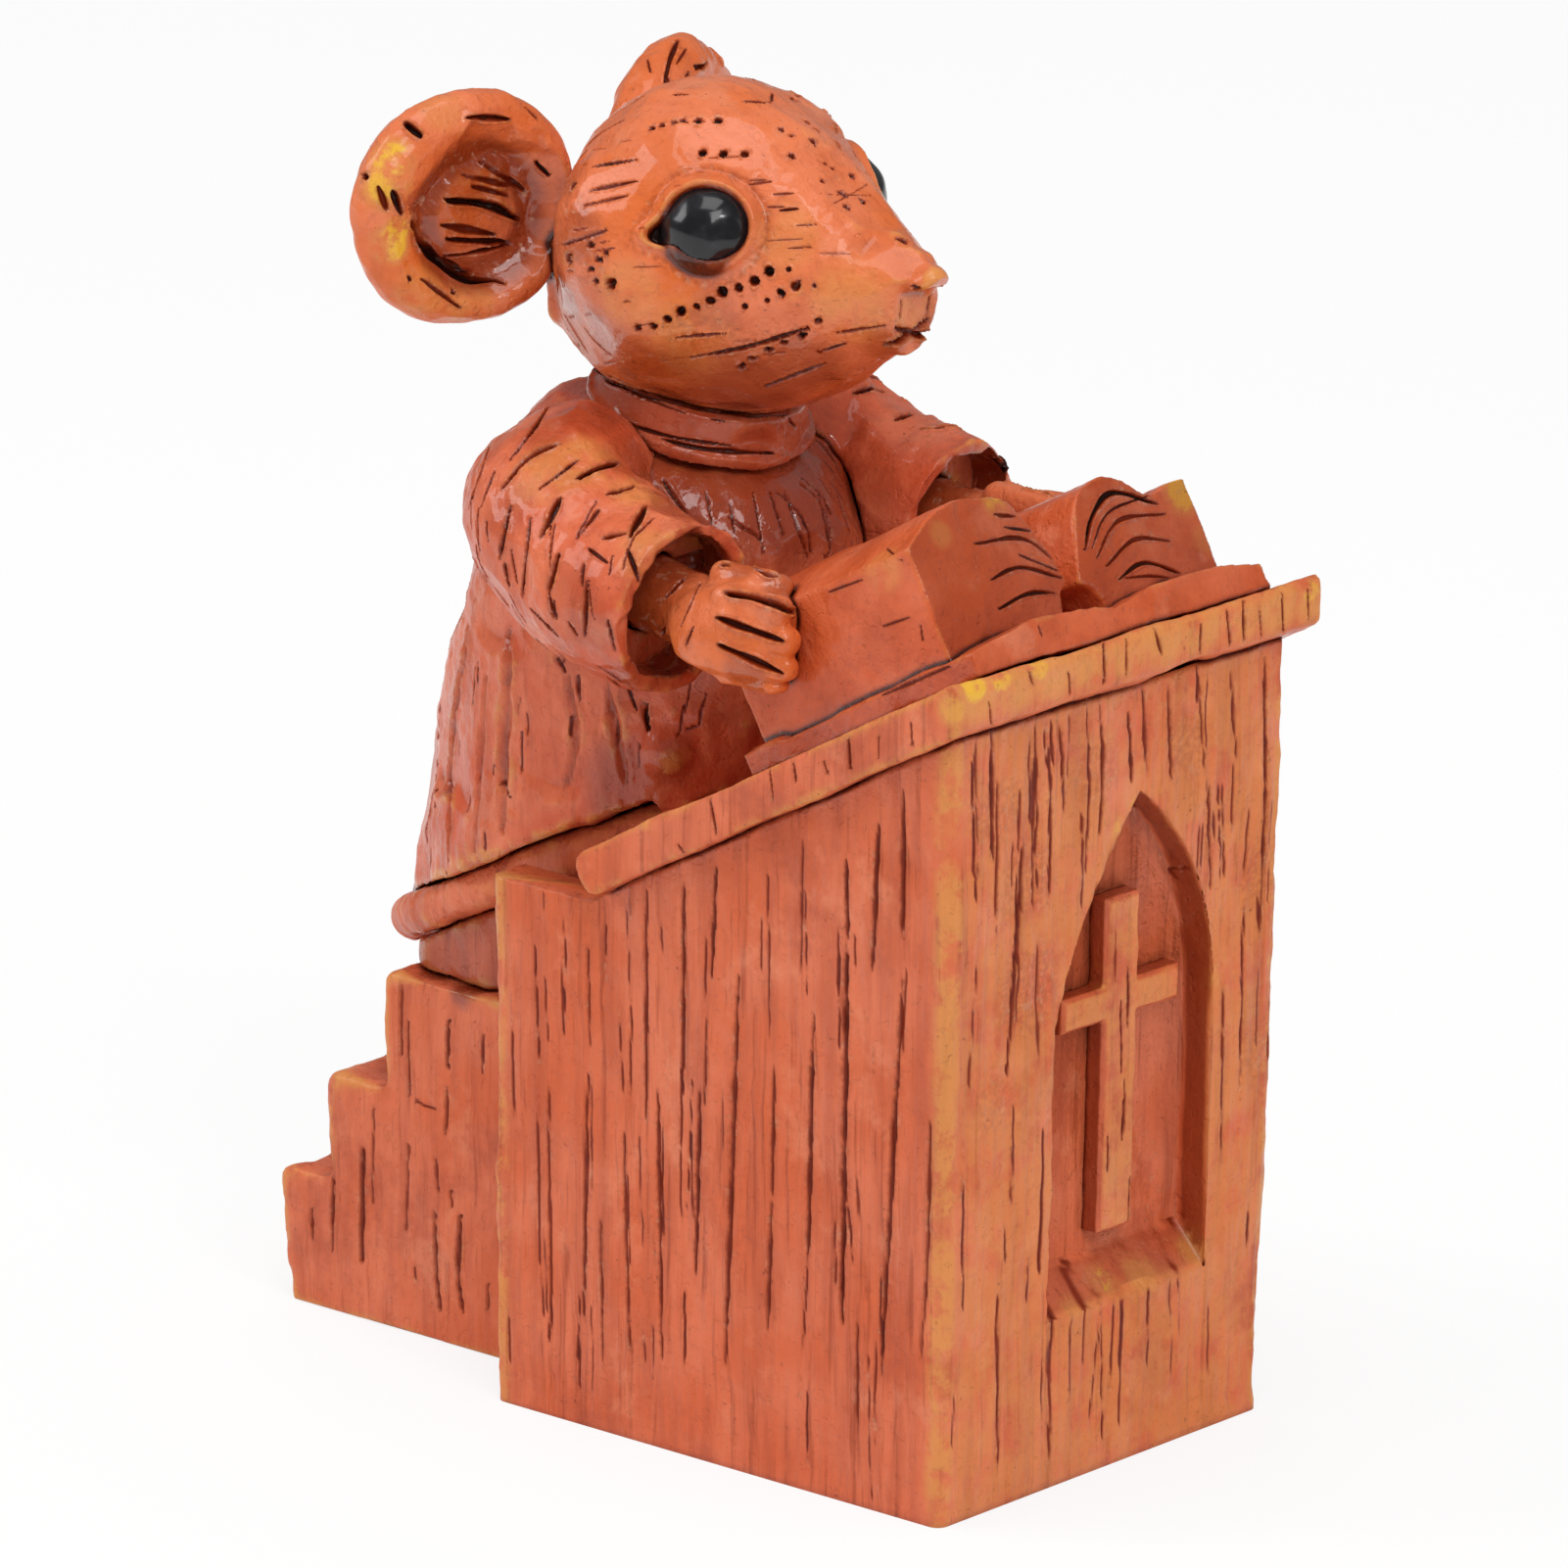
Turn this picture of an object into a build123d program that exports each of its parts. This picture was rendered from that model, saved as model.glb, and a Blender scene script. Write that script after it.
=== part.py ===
from build123d import *
import math
import os

# A robed mouse reading at a pulpit: a small cast and glued ornament.
# +Z is up, the mouse faces -Y, and the origin is the middle of the pulpit's underside.
# Right and left are the mouse's own, so its right side lies at -X. Millimetres and degrees.

# Fits that every seat shares
glue_gap = 0.08
overrun = 3.0

# Pulpit case
case_width = 32.0
case_foot_width = 31.1
case_depth = 37.0
case_front_lean = 1.1
case_rear_height = 34.7
case_ledge_depth = 8.2
case_edge_radius = 0.8
well_width = 25.4
well_depth = 8.0
desk_angle = 28.4

# Niche and cross on the pulpit's front
niche_offset = 2.0
niche_width = 15.3
niche_sill_height = 10.9
niche_spring_height = 30.0
niche_apex_height = 43.7
niche_right_bulge = 0.9
niche_left_bulge = 1.8
niche_depth = 2.5
niche_sill_rise = 2.8
cross_height = 21.8
cross_arm_span = 11.3
cross_upright_width = 3.3
cross_arm_width = 2.3
cross_foot_height = 15.0
cross_arm_height = 30.0
cross_relief = 1.5
cross_edge = 0.3

# Desk board
board_width = 35.0
board_thickness = 2.9
board_front_overhang = 1.45
board_rear_setback = 1.3
board_nose_radius = 1.1
board_edge_radius = 0.5

# Open book, measured along the desk board
book_offset = 0.5
cover_width = 27.6
cover_rear_margin = 12.26
cover_front_inset = 0.9
cover_edge_thickness = 1.6
cover_crown_thickness = 2.4
cover_spine_thickness = 1.7
page_width = 12.5
page_rear_inset = 1.2
page_front_inset = 2.6
page_gutter = 0.5
right_page_height = 9.2
left_page_height = 8.2
page_line_width = 0.35
page_line_depth = 0.5

# Stairs behind the pulpit
stair_width = 19.3
first_rise = 9.0
second_rise = 7.2
third_rise = 7.8
first_tread = 4.4
second_tread = 5.0
landing_run = 15.0
stair_foot_lean = 1.1
stair_nose_radius = 0.8

# Tilted oval standing board and the wedge under it
standing_angle = 26.0
standing_width = 22.0
standing_length = 36.7
standing_thickness = 2.8
standing_setback = 3.7
standing_rise = 8.5
standing_rim_radius = 1.2
wedge_width = 16.4
wedge_rear_height = 1.6
wedge_corner_radius = 2.5

# Robe: an oval bell from the standing board to the neck
robe_width = 24.2
robe_depth = 30.0
robe_height = 39.0
robe_setback = 2.4
robe_lean = 5.6
foot_peg_radius = 3.0
foot_peg_length = 4.0

# Neck and collar, leaning forward with the head
neck_angle = 17.0
neck_reach = 5.7
neck_rise = 38.0
neck_radius = 4.2
neck_length = 6.5
collar_radius = 6.9
collar_height = 2.9
collar_flare = 0.6
collar_hem_height = 0.8
collar_hem_width = 0.45

# Head
head_length = 28.6
head_width = 20.0
head_height = 20.2
head_rise = 11.6
nose_reach = 18.8
nose_radius = 1.3
mouth_width = 0.55
mouth_depth = 3.2
nostril_radius = 0.35
nostril_depth = 0.5

# Eyes
eye_radius = 3.2
eye_spread = 5.9
eye_setback = 12.7
eye_rise = 2.3
eye_turn = 36.0
eye_tilt = 24.0
eye_lid_radius = 0.45

# Ears
ear_width = 15.8
ear_tall = 14.9
ear_thickness = 4.8
ear_back_radius = 2.0
ear_rim_radius = 0.9
ear_spread = 9.8
ear_setback = 30.1
ear_rise = 1.8
ear_turn = 19.0
ear_peg_radius = 1.5
ear_peg_start = 5.6
ear_peg_length = 3.6
dish_width = 11.8
dish_tall = 10.0
dish_depth = 2.0

# Sleeves
sleeve_radius = 6.2
shoulder_reach = 3.3
shoulder_rise = 35.2
arm_spread = 13.2
arm_reach = 12.7
arm_drop = 5.1
shoulder_peg_radius = 2.2
cuff_wall = 1.1
cuff_hollow_depth = 2.6

# Hands
hand_reach = 5.6
hand_outset = 0.9
palm_width = 5.4
palm_length = 8.6
palm_height = 7.4
finger_radius = 1.05
finger_length = 4.6
thumb_radius = 1.1
wrist_radius = 2.4

# Shapes of lofts and outlines, as shares of the sizes above
# Robe rows: height, width, depth and how much of the lean is taken up
robe_shares = [
    (0.00, 1.00, 0.97, 0.00),
    (0.24, 1.00, 1.00, 0.12),
    (0.40, 0.99, 0.97, 0.25),
    (0.54, 0.98, 0.93, 0.38),
    (0.68, 0.96, 0.87, 0.50),
    (0.82, 0.92, 0.80, 0.60),
    (0.92, 0.86, 0.60, 0.46),
    (1.00, 0.58, 0.44, 0.50),
]
# Head rows: place from nose to nape, width, height and lift from the head's centre line
head_shares = [
    (0.000, 0.085, 0.085, -0.008),
    (0.061, 0.230, 0.240, -0.052),
    (0.187, 0.440, 0.530, -0.065),
    (0.355, 0.720, 0.850, -0.040),
    (0.560, 1.000, 1.040, -0.020),
    (0.760, 0.900, 0.980, -0.035),
    (0.910, 0.560, 0.720, -0.100),
    (1.000, 0.300, 0.440, -0.180),
]
# Sleeve rows: share of the spread, reach, drop and radius from shoulder to cuff
sleeve_shares = [
    (0.45, 0.00, 0.00, 0.80),
    (0.84, 0.08, 0.36, 1.00),
    (0.98, 0.50, 0.82, 0.96),
    (1.00, 1.00, 1.00, 0.90),
]
# Page top rows from the spine out: share of the page's width and of its height
right_page_shares = [(0.02, 0.40), (0.15, 0.80), (0.42, 1.00), (0.72, 0.98), (1.00, 0.80)]
left_page_shares = [(0.02, 0.40), (0.15, 0.80), (0.38, 1.00), (0.74, 0.76), (1.00, 0.74)]
# Palm rows from knuckles to wrist, as the head's
palm_shares = [
    (0.00, 0.55, 0.60, 0.00),
    (0.10, 0.85, 0.88, 0.00),
    (0.40, 1.00, 1.00, 0.00),
    (0.75, 0.90, 0.85, 0.00),
    (1.00, 0.62, 0.62, 0.00),
]
page_line_shares = [0.30, 0.46, 0.62, 0.78]
page_line_reach_share = 0.80
cover_crown_share = 0.55
finger_place_shares = [-0.36, -0.12, 0.12, 0.36]
finger_length_shares = [0.80, 0.98, 1.00, 0.88]
finger_outset_share = 0.16
mouth_place_share = 0.105
mouth_drop_share = 0.115
nostril_spread_share = 0.62
eye_opening_share = 0.85
lid_overlap_share = 0.30
dish_floor_share = 0.60


# Places worked out from those sizes
front_y = -case_depth / 2
rear_y = case_depth / 2
slope_foot_y = rear_y - case_ledge_depth
slope_rise = math.tan(math.radians(desk_angle))
lean_y = front_y - case_front_lean
case_front_height = case_rear_height + (slope_foot_y - lean_y) * slope_rise
landing_height = first_rise + second_rise + third_rise
well_front_y = rear_y - well_depth
desk_up = Vector(0, math.sin(math.radians(desk_angle)), math.cos(math.radians(desk_angle)))
standing_up = Vector(0, math.sin(math.radians(standing_angle)), math.cos(math.radians(standing_angle)))
neck_axis = Vector(0, -math.sin(math.radians(neck_angle)), math.cos(math.radians(neck_angle)))
standing_centre_back = rear_y + standing_setback
standing_centre_height = landing_height + standing_rise
robe_centre_back = rear_y + robe_setback
neck_back = robe_centre_back - neck_reach
neck_place = Vector(0, neck_back, landing_height + neck_rise)
nose_y = neck_back - nose_reach
head_front = Vector(0, nose_y, neck_place.Z + head_rise)
far_reach = case_depth + standing_length


def slope_height(y):
    """Height of the case's sloping top at a distance along Y."""
    return case_rear_height + (slope_foot_y - y) * slope_rise


def side_prism(points, half_width):
    """A prism across X whose outline is drawn in Y and Z."""
    outline = make_face(Polyline(*points, close=True))
    return extrude(Plane.YZ * outline, amount=half_width, both=True)


def rod(start, end, radius):
    """A round rod from one point to another."""
    start = Vector(start)
    along = Vector(end) - start
    return extrude(Plane(origin=start, z_dir=along) * Circle(radius), amount=along.length)


def capsule(start, end, radius):
    """A rod with round ends, as a finger has."""
    tip = Pos(*Vector(end)) * Sphere(radius)
    return rod(start, end, radius) + Pos(*Vector(start)) * Sphere(radius) + tip


def to_left(shape):
    """The same piece on the mouse's left side."""
    return mirror(shape, about=Plane.YZ)


# Pulpit case: a tapered block whose top slopes back to a level ledge with an open well
front_plane = Plane(
    origin=(0, front_y, 0), x_dir=(1, 0, 0), z_dir=(0, -case_front_height, -case_front_lean)
)


def niche_outline():
    left = niche_offset - niche_width / 2
    right = niche_offset + niche_width / 2
    rise = niche_apex_height - niche_spring_height
    slant = math.hypot(rise, niche_width / 2)
    out_x = rise / slant
    out_z = niche_width / 2 / slant
    half_left = ((left + niche_offset) / 2, (niche_spring_height + niche_apex_height) / 2)
    half_right = ((right + niche_offset) / 2, (niche_spring_height + niche_apex_height) / 2)
    apex = (niche_offset, niche_apex_height)
    sides = Polyline(
        (left, niche_spring_height), (left, niche_sill_height),
        (right, niche_sill_height), (right, niche_spring_height),
    )
    right_arc = ThreePointArc(
        (right, niche_spring_height),
        (half_right[0] + out_x * niche_left_bulge, half_right[1] + out_z * niche_left_bulge),
        apex,
    )
    left_arc = ThreePointArc(
        apex,
        (half_left[0] - out_x * niche_right_bulge, half_left[1] + out_z * niche_right_bulge),
        (left, niche_spring_height),
    )
    return make_face(sides + right_arc + left_arc)


def build_case():
    foot = Pos(0, 0, 0) * Rectangle(case_foot_width, case_depth)
    top_depth = rear_y - lean_y
    top = Pos(0, (rear_y + lean_y) / 2, case_front_height) * Rectangle(case_width, top_depth)
    block = loft([foot, top], ruled=True)
    block = fillet(block.edges().filter_by(lambda edge: edge.bounding_box().size.Z > case_rear_height),
                   case_edge_radius)
    above = [
        (lean_y - overrun, slope_height(lean_y - overrun)),
        (slope_foot_y, case_rear_height),
        (rear_y + overrun, case_rear_height),
        (rear_y + overrun, case_front_height + overrun),
        (lean_y - overrun, slope_height(lean_y - overrun) + overrun),
    ]
    block -= side_prism(above, case_width)
    well_height = case_front_height - landing_height
    well = Pos(0, (well_front_y + rear_y + overrun) / 2, landing_height + well_height / 2) * Box(
        well_width, well_depth + overrun, well_height
    )
    niche = extrude(front_plane * niche_outline(), amount=-niche_depth)
    niche += extrude(front_plane * niche_outline(), amount=overrun)
    sill_points = [
        (0, niche_sill_height),
        (-niche_depth, niche_sill_height),
        (-niche_depth, niche_sill_height + niche_sill_rise),
    ]
    sill_plane = Plane(origin=front_plane.origin, x_dir=front_plane.z_dir, z_dir=(1, 0, 0))
    sill = extrude(sill_plane * make_face(Polyline(*sill_points, close=True)), amount=case_width, both=True)
    return block - well - (niche - sill)


# Cross: two bars glued to the niche's floor
def build_cross():
    floor_plane = front_plane.offset(-niche_depth)
    upright = Pos(niche_offset, cross_foot_height + cross_height / 2) * Rectangle(
        cross_upright_width, cross_height
    )
    arms = Pos(niche_offset, cross_arm_height) * Rectangle(cross_arm_span, cross_arm_width)
    cross = extrude(floor_plane * (upright + arms), amount=cross_relief)
    front_edges = cross.faces().sort_by(Axis(front_plane.origin, front_plane.z_dir))[-1].edges()
    return chamfer(front_edges, cross_edge)


# Desk board: plumb at the front, rounded at its lower rear end
board_front_y = lean_y - board_front_overhang
board_rear_y = slope_foot_y - board_rear_setback
board_plumb = board_thickness / math.cos(math.radians(desk_angle))
board_top_front = Vector(0, board_front_y, slope_height(board_front_y) + board_plumb)
board_slope_length = (board_rear_y - board_front_y) / math.cos(math.radians(desk_angle))
cover_length = board_slope_length - cover_front_inset - cover_rear_margin
page_length = cover_length - page_front_inset - page_rear_inset


def build_board():
    rear_low = Vector(0, board_rear_y, slope_height(board_rear_y))
    rear_high = rear_low + desk_up * board_thickness
    points = [
        (board_front_y, slope_height(board_front_y)),
        (board_front_y, board_top_front.Z),
        (rear_high.Y, rear_high.Z),
        (rear_low.Y, rear_low.Z),
    ]
    board = side_prism(points, board_width / 2)
    cross_edges = board.edges().filter_by(Axis.X).sort_by(Axis.Y)
    board = fillet(cross_edges[-2:], board_nose_radius)
    front_edges = board.edges().filter_by(Axis.X).sort_by(Axis.Y)[:2]
    return fillet(front_edges, board_edge_radius)


# Book: built flat, with the desk board's top at zero height and its front edge at zero Y
desk_place = Plane(origin=board_top_front, x_dir=(1, 0, 0), z_dir=desk_up).location
end_plane = Plane(origin=(-book_offset, 0, 0), x_dir=(1, 0, 0), z_dir=(0, -1, 0))


def build_cover():
    half = cover_width / 2
    crown = half * cover_crown_share
    left_curve = Spline(
        (half, cover_edge_thickness), (crown, cover_crown_thickness), (0, cover_spine_thickness)
    )
    right_curve = Spline(
        (0, cover_spine_thickness), (-crown, cover_crown_thickness), (-half, cover_edge_thickness)
    )
    base = Polyline(
        (-half, cover_edge_thickness), (-half, 0), (half, 0), (half, cover_edge_thickness)
    )
    outline = make_face(base + left_curve + right_curve)
    cover = extrude(end_plane.offset(-cover_front_inset) * outline, amount=-cover_length)
    return cover


def page_block(side, height, row_shares, cover):
    reach = [(side * (page_gutter + along * page_width), rise * height) for along, rise in row_shares]
    top = Spline(*[(x, cover_spine_thickness + z) for x, z in reach])
    start = top @ 0
    finish = top @ 1
    rest = Polyline((finish.X, finish.Y), (finish.X, 0), (start.X, 0), (start.X, start.Y))
    outline = make_face(top + rest)
    front = end_plane.offset(-cover_front_inset - page_front_inset)
    block = extrude(front * outline, amount=-page_length)
    for line_share in page_line_shares:
        curve = Spline(
            *[(x * page_line_reach_share, cover_spine_thickness + z * line_share) for x, z in reach]
        )
        groove = front * trace(curve, line_width=page_line_width)
        block -= extrude(groove, amount=page_line_depth, both=True)
    return block - cover


# Stairs: three lean-backed steps up to the landing
def build_stairs():
    third_y = rear_y + landing_run
    second_y = third_y + second_tread
    first_y = second_y + first_tread
    points = [
        (rear_y, 0),
        (first_y - stair_foot_lean, 0),
        (first_y, first_rise),
        (second_y, first_rise),
        (second_y, first_rise + second_rise),
        (third_y, first_rise + second_rise),
        (third_y, landing_height),
        (rear_y, landing_height),
    ]
    stairs = side_prism(points, stair_width / 2)
    noses = [edge for edge in stairs.edges().filter_by(Axis.X)
             if any(abs(edge.center().Y - y) + abs(edge.center().Z - z) < glue_gap for y, z in
                    [(first_y, first_rise), (second_y, first_rise + second_rise), (third_y, landing_height)])]
    return fillet(noses, stair_nose_radius)


# Standing board: an oval plate, low at the back, that runs into the pulpit's well
standing_place = Plane(
    origin=(0, standing_centre_back, standing_centre_height), x_dir=(1, 0, 0), z_dir=standing_up
).location
standing_plumb = standing_thickness / 2 / math.cos(math.radians(standing_angle))
standing_fall = math.tan(math.radians(standing_angle))


def standing_height(y):
    """Height of the standing board's middle plane at a distance along Y."""
    return standing_centre_height - (y - standing_centre_back) * standing_fall


def build_standing_board(peg):
    plate = extrude(Ellipse(standing_width / 2, standing_length / 2), amount=standing_thickness / 2, both=True)
    plate = standing_place * fillet(plate.edges().filter_by(GeomType.ELLIPSE), standing_rim_radius)
    ahead = Pos(0, well_front_y + glue_gap - far_reach / 2, standing_centre_height) * Box(
        far_reach, far_reach, far_reach
    )
    return plate - ahead - peg


def build_wedge(peg):
    fall = standing_centre_height - standing_plumb - landing_height - wedge_rear_height
    wedge_rear_y = standing_centre_back + fall / standing_fall
    wedge_front_y = well_front_y + glue_gap
    points = [
        (wedge_front_y, landing_height),
        (wedge_rear_y, landing_height),
        (wedge_rear_y, standing_height(wedge_rear_y) - standing_plumb),
        (wedge_front_y, standing_height(wedge_front_y) - standing_plumb),
    ]
    wedge = side_prism(points, wedge_width / 2)
    rear_edges = wedge.edges().filter_by(Axis.Z).sort_by(Axis.Y)[-2:]
    return fillet(rear_edges, wedge_corner_radius) - peg


# Robe: loft of ovals, cut to sit on the standing board and on the desk board's rear end
def robe_blank():
    rows = []
    for rise, across, along, lean in robe_shares:
        level = Pos(0, robe_centre_back - lean * robe_lean, landing_height + rise * robe_height)
        rows.append(level * Ellipse(across * robe_width / 2, along * robe_depth / 2))
    return loft(rows)


def robe_underside():
    """Everything below the standing board's top and the case's ledge and slope."""
    step_y = well_front_y + glue_gap
    far_rear = standing_centre_back + standing_length
    far_front = step_y - far_reach
    points = [
        (far_rear, standing_height(far_rear) + standing_plumb),
        (step_y, standing_height(step_y) + standing_plumb),
        (step_y, case_rear_height),
        (slope_foot_y, case_rear_height),
        (far_front, slope_height(far_front)),
        (far_front, -far_reach),
        (far_rear, -far_reach),
    ]
    return side_prism(points, robe_width)


def foot_peg(gap):
    start = Vector(0, standing_centre_back, standing_centre_height) + standing_up * standing_thickness
    end = start - standing_up * (standing_thickness * 3 / 2 + foot_peg_length + gap)
    return rod(start, end, foot_peg_radius + gap)


def neck_post(gap):
    return rod(neck_place - neck_axis * neck_length / 2, neck_place + neck_axis * (neck_length + gap),
               neck_radius + gap)


# Collar: a flared band with a hem bead, bored for the neck
def build_collar():
    top_radius = collar_radius - collar_flare
    hem_radius = collar_radius + collar_hem_width
    outline = Polyline(
        (0, 0), (hem_radius, 0), (hem_radius, collar_hem_height),
        (collar_radius, collar_hem_height), (top_radius, collar_height), (0, collar_height),
        close=True,
    )
    band = revolve(Plane.XZ * make_face(outline), Axis.Z)
    return Plane(origin=neck_place, x_dir=(1, 0, 0), z_dir=neck_axis).location * band


# Head: loft of ovals from nose to nape, with nose, mouth, lids and sockets
def oval_loft(front, length, width, height, row_shares):
    """A loft of ovals that runs back along Y from the front point."""
    rows = []
    for along, across, tall, lift in row_shares:
        place = front + Vector(0, along * length, lift * height)
        plane = Plane(origin=place, x_dir=(1, 0, 0), z_dir=(0, 1, 0))
        rows.append(plane * Ellipse(across * width / 2, tall * height / 2))
    return loft(rows)


eye_place = head_front + Vector(-eye_spread, eye_setback, eye_rise)
eye_level = math.cos(math.radians(eye_tilt))
eye_facing = Vector(
    -eye_level * math.cos(math.radians(eye_turn)),
    -eye_level * math.sin(math.radians(eye_turn)),
    math.sin(math.radians(eye_tilt)),
)


def build_face(head):
    nose_place = head_front + Vector(0, 0, head_shares[0][3] * head_height)
    head += Pos(*nose_place) * Sphere(nose_radius)
    opening = eye_radius * eye_opening_share
    lid_lift = math.sqrt(eye_radius**2 - opening**2)
    lid_plane = Plane(origin=eye_place + eye_facing * lid_lift, z_dir=eye_facing)
    lid = lid_plane.location * Torus(opening + lid_overlap_share * eye_lid_radius, eye_lid_radius)
    head += lid
    head += to_left(lid)
    mouth_place = head_front + Vector(
        0, mouth_place_share * head_length, -mouth_drop_share * head_height
    )
    mouth_plane = Plane(origin=mouth_place, z_dir=(0, -mouth_depth, mouth_depth))
    head -= mouth_plane.location * Box(head_width, mouth_depth, mouth_width)
    for side in (-1, 1):
        nostril = nose_place + Vector(side * nostril_spread_share * nose_radius, -nose_radius, 0)
        head -= rod(nostril, nostril + Vector(0, nose_radius + nostril_depth, 0), nostril_radius)
    socket = Pos(*eye_place) * Sphere(eye_radius + glue_gap)
    return head - socket - to_left(socket)


# Ears: dished oval plates on pegs let into the head
ear_place = head_front + Vector(-ear_spread, ear_setback, ear_rise)
ear_turn_rad = math.radians(ear_turn)
ear_facing = Vector(-math.sin(ear_turn_rad), -math.cos(ear_turn_rad), 0)
ear_inward = Vector(math.cos(ear_turn_rad), -math.sin(ear_turn_rad), 0)


def ear_blank():
    front = ear_thickness / 2
    plate = extrude(Ellipse(ear_width / 2, ear_tall / 2), amount=front, both=True)
    plate = fillet(plate.edges().sort_by(Axis.Z)[:1], ear_back_radius)
    plate = fillet(plate.edges().sort_by(Axis.Z)[-1:], ear_rim_radius)
    floor = Ellipse(dish_width / 2 * dish_floor_share, dish_tall / 2 * dish_floor_share)
    dish = loft([Pos(0, 0, front - dish_depth) * floor, Pos(0, 0, front) * Ellipse(dish_width / 2, dish_tall / 2)])
    return Plane(origin=ear_place, x_dir=ear_inward, z_dir=ear_facing).location * (plate - dish)


def ear_peg(gap):
    start = ear_place + ear_inward * (ear_peg_start - gap)
    return rod(start, start + ear_inward * (ear_peg_length + 2 * gap), ear_peg_radius + gap)


# Sleeves: a bell from shoulder to cuff, hollow round the wrist
shoulder_place = Vector(0, robe_centre_back - shoulder_reach, landing_height + shoulder_rise)


def arm_point(row):
    spread, reach, drop, _ = row
    return shoulder_place + Vector(-spread * arm_spread, -reach * arm_reach, -drop * arm_drop)


arm_points = [arm_point(row) for row in sleeve_shares]
cuff_place = arm_points[-1]
cuff_facing = (arm_points[-1] - arm_points[-2]).normalized()
cuff_radius = sleeve_shares[-1][3] * sleeve_radius


def sleeve_blank():
    rows = []
    for index, row in enumerate(sleeve_shares):
        before = arm_points[max(index - 1, 0)]
        after = arm_points[min(index + 1, len(arm_points) - 1)]
        plane = Plane(origin=arm_points[index], x_dir=(0, 0, 1), z_dir=after - before)
        rows.append(plane * Circle(row[3] * sleeve_radius))
    return loft(rows)


def shoulder_peg(gap):
    return rod(arm_points[1], arm_points[0] - (arm_points[1] - arm_points[0]).normalized() * gap,
               shoulder_peg_radius + gap)


def cuff_hollow():
    return rod(cuff_place - cuff_facing * cuff_hollow_depth, cuff_place + cuff_facing * overrun,
               cuff_radius - cuff_wall)


def wrist_peg(gap):
    end = cuff_place - cuff_facing * (2 * cuff_hollow_depth + gap)
    return rod(cuff_place + cuff_facing * hand_reach, end, wrist_radius + gap)


# Hands: a palm with four fingers along the book's edge and a thumb on top
def hand_blank():
    centre = cuff_place + cuff_facing * hand_reach + Vector(-hand_outset, 0, 0)
    knuckles = centre - Vector(0, palm_length / 2, 0)
    palm = oval_loft(knuckles, palm_length, palm_width, palm_height, palm_shares)
    outset = Vector(-finger_outset_share * palm_width, 0, 0)
    for place_share, length_share in zip(finger_place_shares, finger_length_shares):
        root = centre + outset + Vector(0, 0, place_share * palm_height)
        palm += capsule(root, root - Vector(0, length_share * finger_length, 0), finger_radius)
    thumb_root = centre + Vector(palm_width / 4, palm_length / 4, palm_height / 2 - thumb_radius / 2)
    return palm + capsule(thumb_root, thumb_root - Vector(0, palm_length / 2, 0), thumb_radius)


# Cut each piece to its seats, the larger pieces first
case = build_case()
cross = build_cross()
board = build_board()
flat_cover = build_cover()
cover = desk_place * flat_cover
right_pages = desk_place * page_block(-1, right_page_height, right_page_shares, flat_cover)
left_pages = desk_place * page_block(1, left_page_height, left_page_shares, flat_cover)
stairs = build_stairs()
standing_board = build_standing_board(foot_peg(glue_gap))
wedge = build_wedge(foot_peg(glue_gap))

robe_bell = robe_blank() - robe_underside() - board
head_solid = oval_loft(head_front, head_length, head_width, head_height, head_shares)
collar = build_collar() - head_solid - neck_post(glue_gap)
right_sleeve = sleeve_blank() - robe_bell - build_collar() - cuff_hollow() + shoulder_peg(0)
right_ear = ear_blank() - head_solid + ear_peg(0)
robe = robe_bell - build_collar() - head_solid + neck_post(0) + foot_peg(0)
robe = robe - shoulder_peg(glue_gap) - to_left(shoulder_peg(glue_gap))
head = build_face(head_solid) - neck_post(glue_gap) - ear_peg(glue_gap) - to_left(ear_peg(glue_gap))
right_sleeve = right_sleeve - wrist_peg(glue_gap)
right_eye = Pos(*eye_place) * Sphere(eye_radius)
hand = hand_blank() + wrist_peg(0) - (sleeve_blank() - cuff_hollow() - wrist_peg(glue_gap))
right_hand = hand - cover - right_pages - board
left_hand = to_left(hand) - cover - left_pages - board

pieces = {
    "pulpit_case": case,
    "front_cross": cross,
    "desk_board": board,
    "book_cover": cover,
    "right_pages": right_pages,
    "left_pages": left_pages,
    "stair_block": stairs,
    "standing_wedge": wedge,
    "standing_board": standing_board,
    "robe": robe,
    "collar": collar,
    "head": head,
    "right_ear": right_ear,
    "left_ear": to_left(right_ear),
    "right_eye": right_eye,
    "left_eye": to_left(right_eye),
    "right_sleeve": right_sleeve,
    "left_sleeve": to_left(right_sleeve),
    "right_hand": right_hand,
    "left_hand": left_hand,
}

os.makedirs("parts", exist_ok=True)
for name, shape in pieces.items():
    export_step(shape, f"parts/{name}.step")
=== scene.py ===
import bpy
import bmesh
import math
import numpy as np
from mathutils import Matrix, Vector
from mathutils.bvhtree import BVHTree


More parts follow.
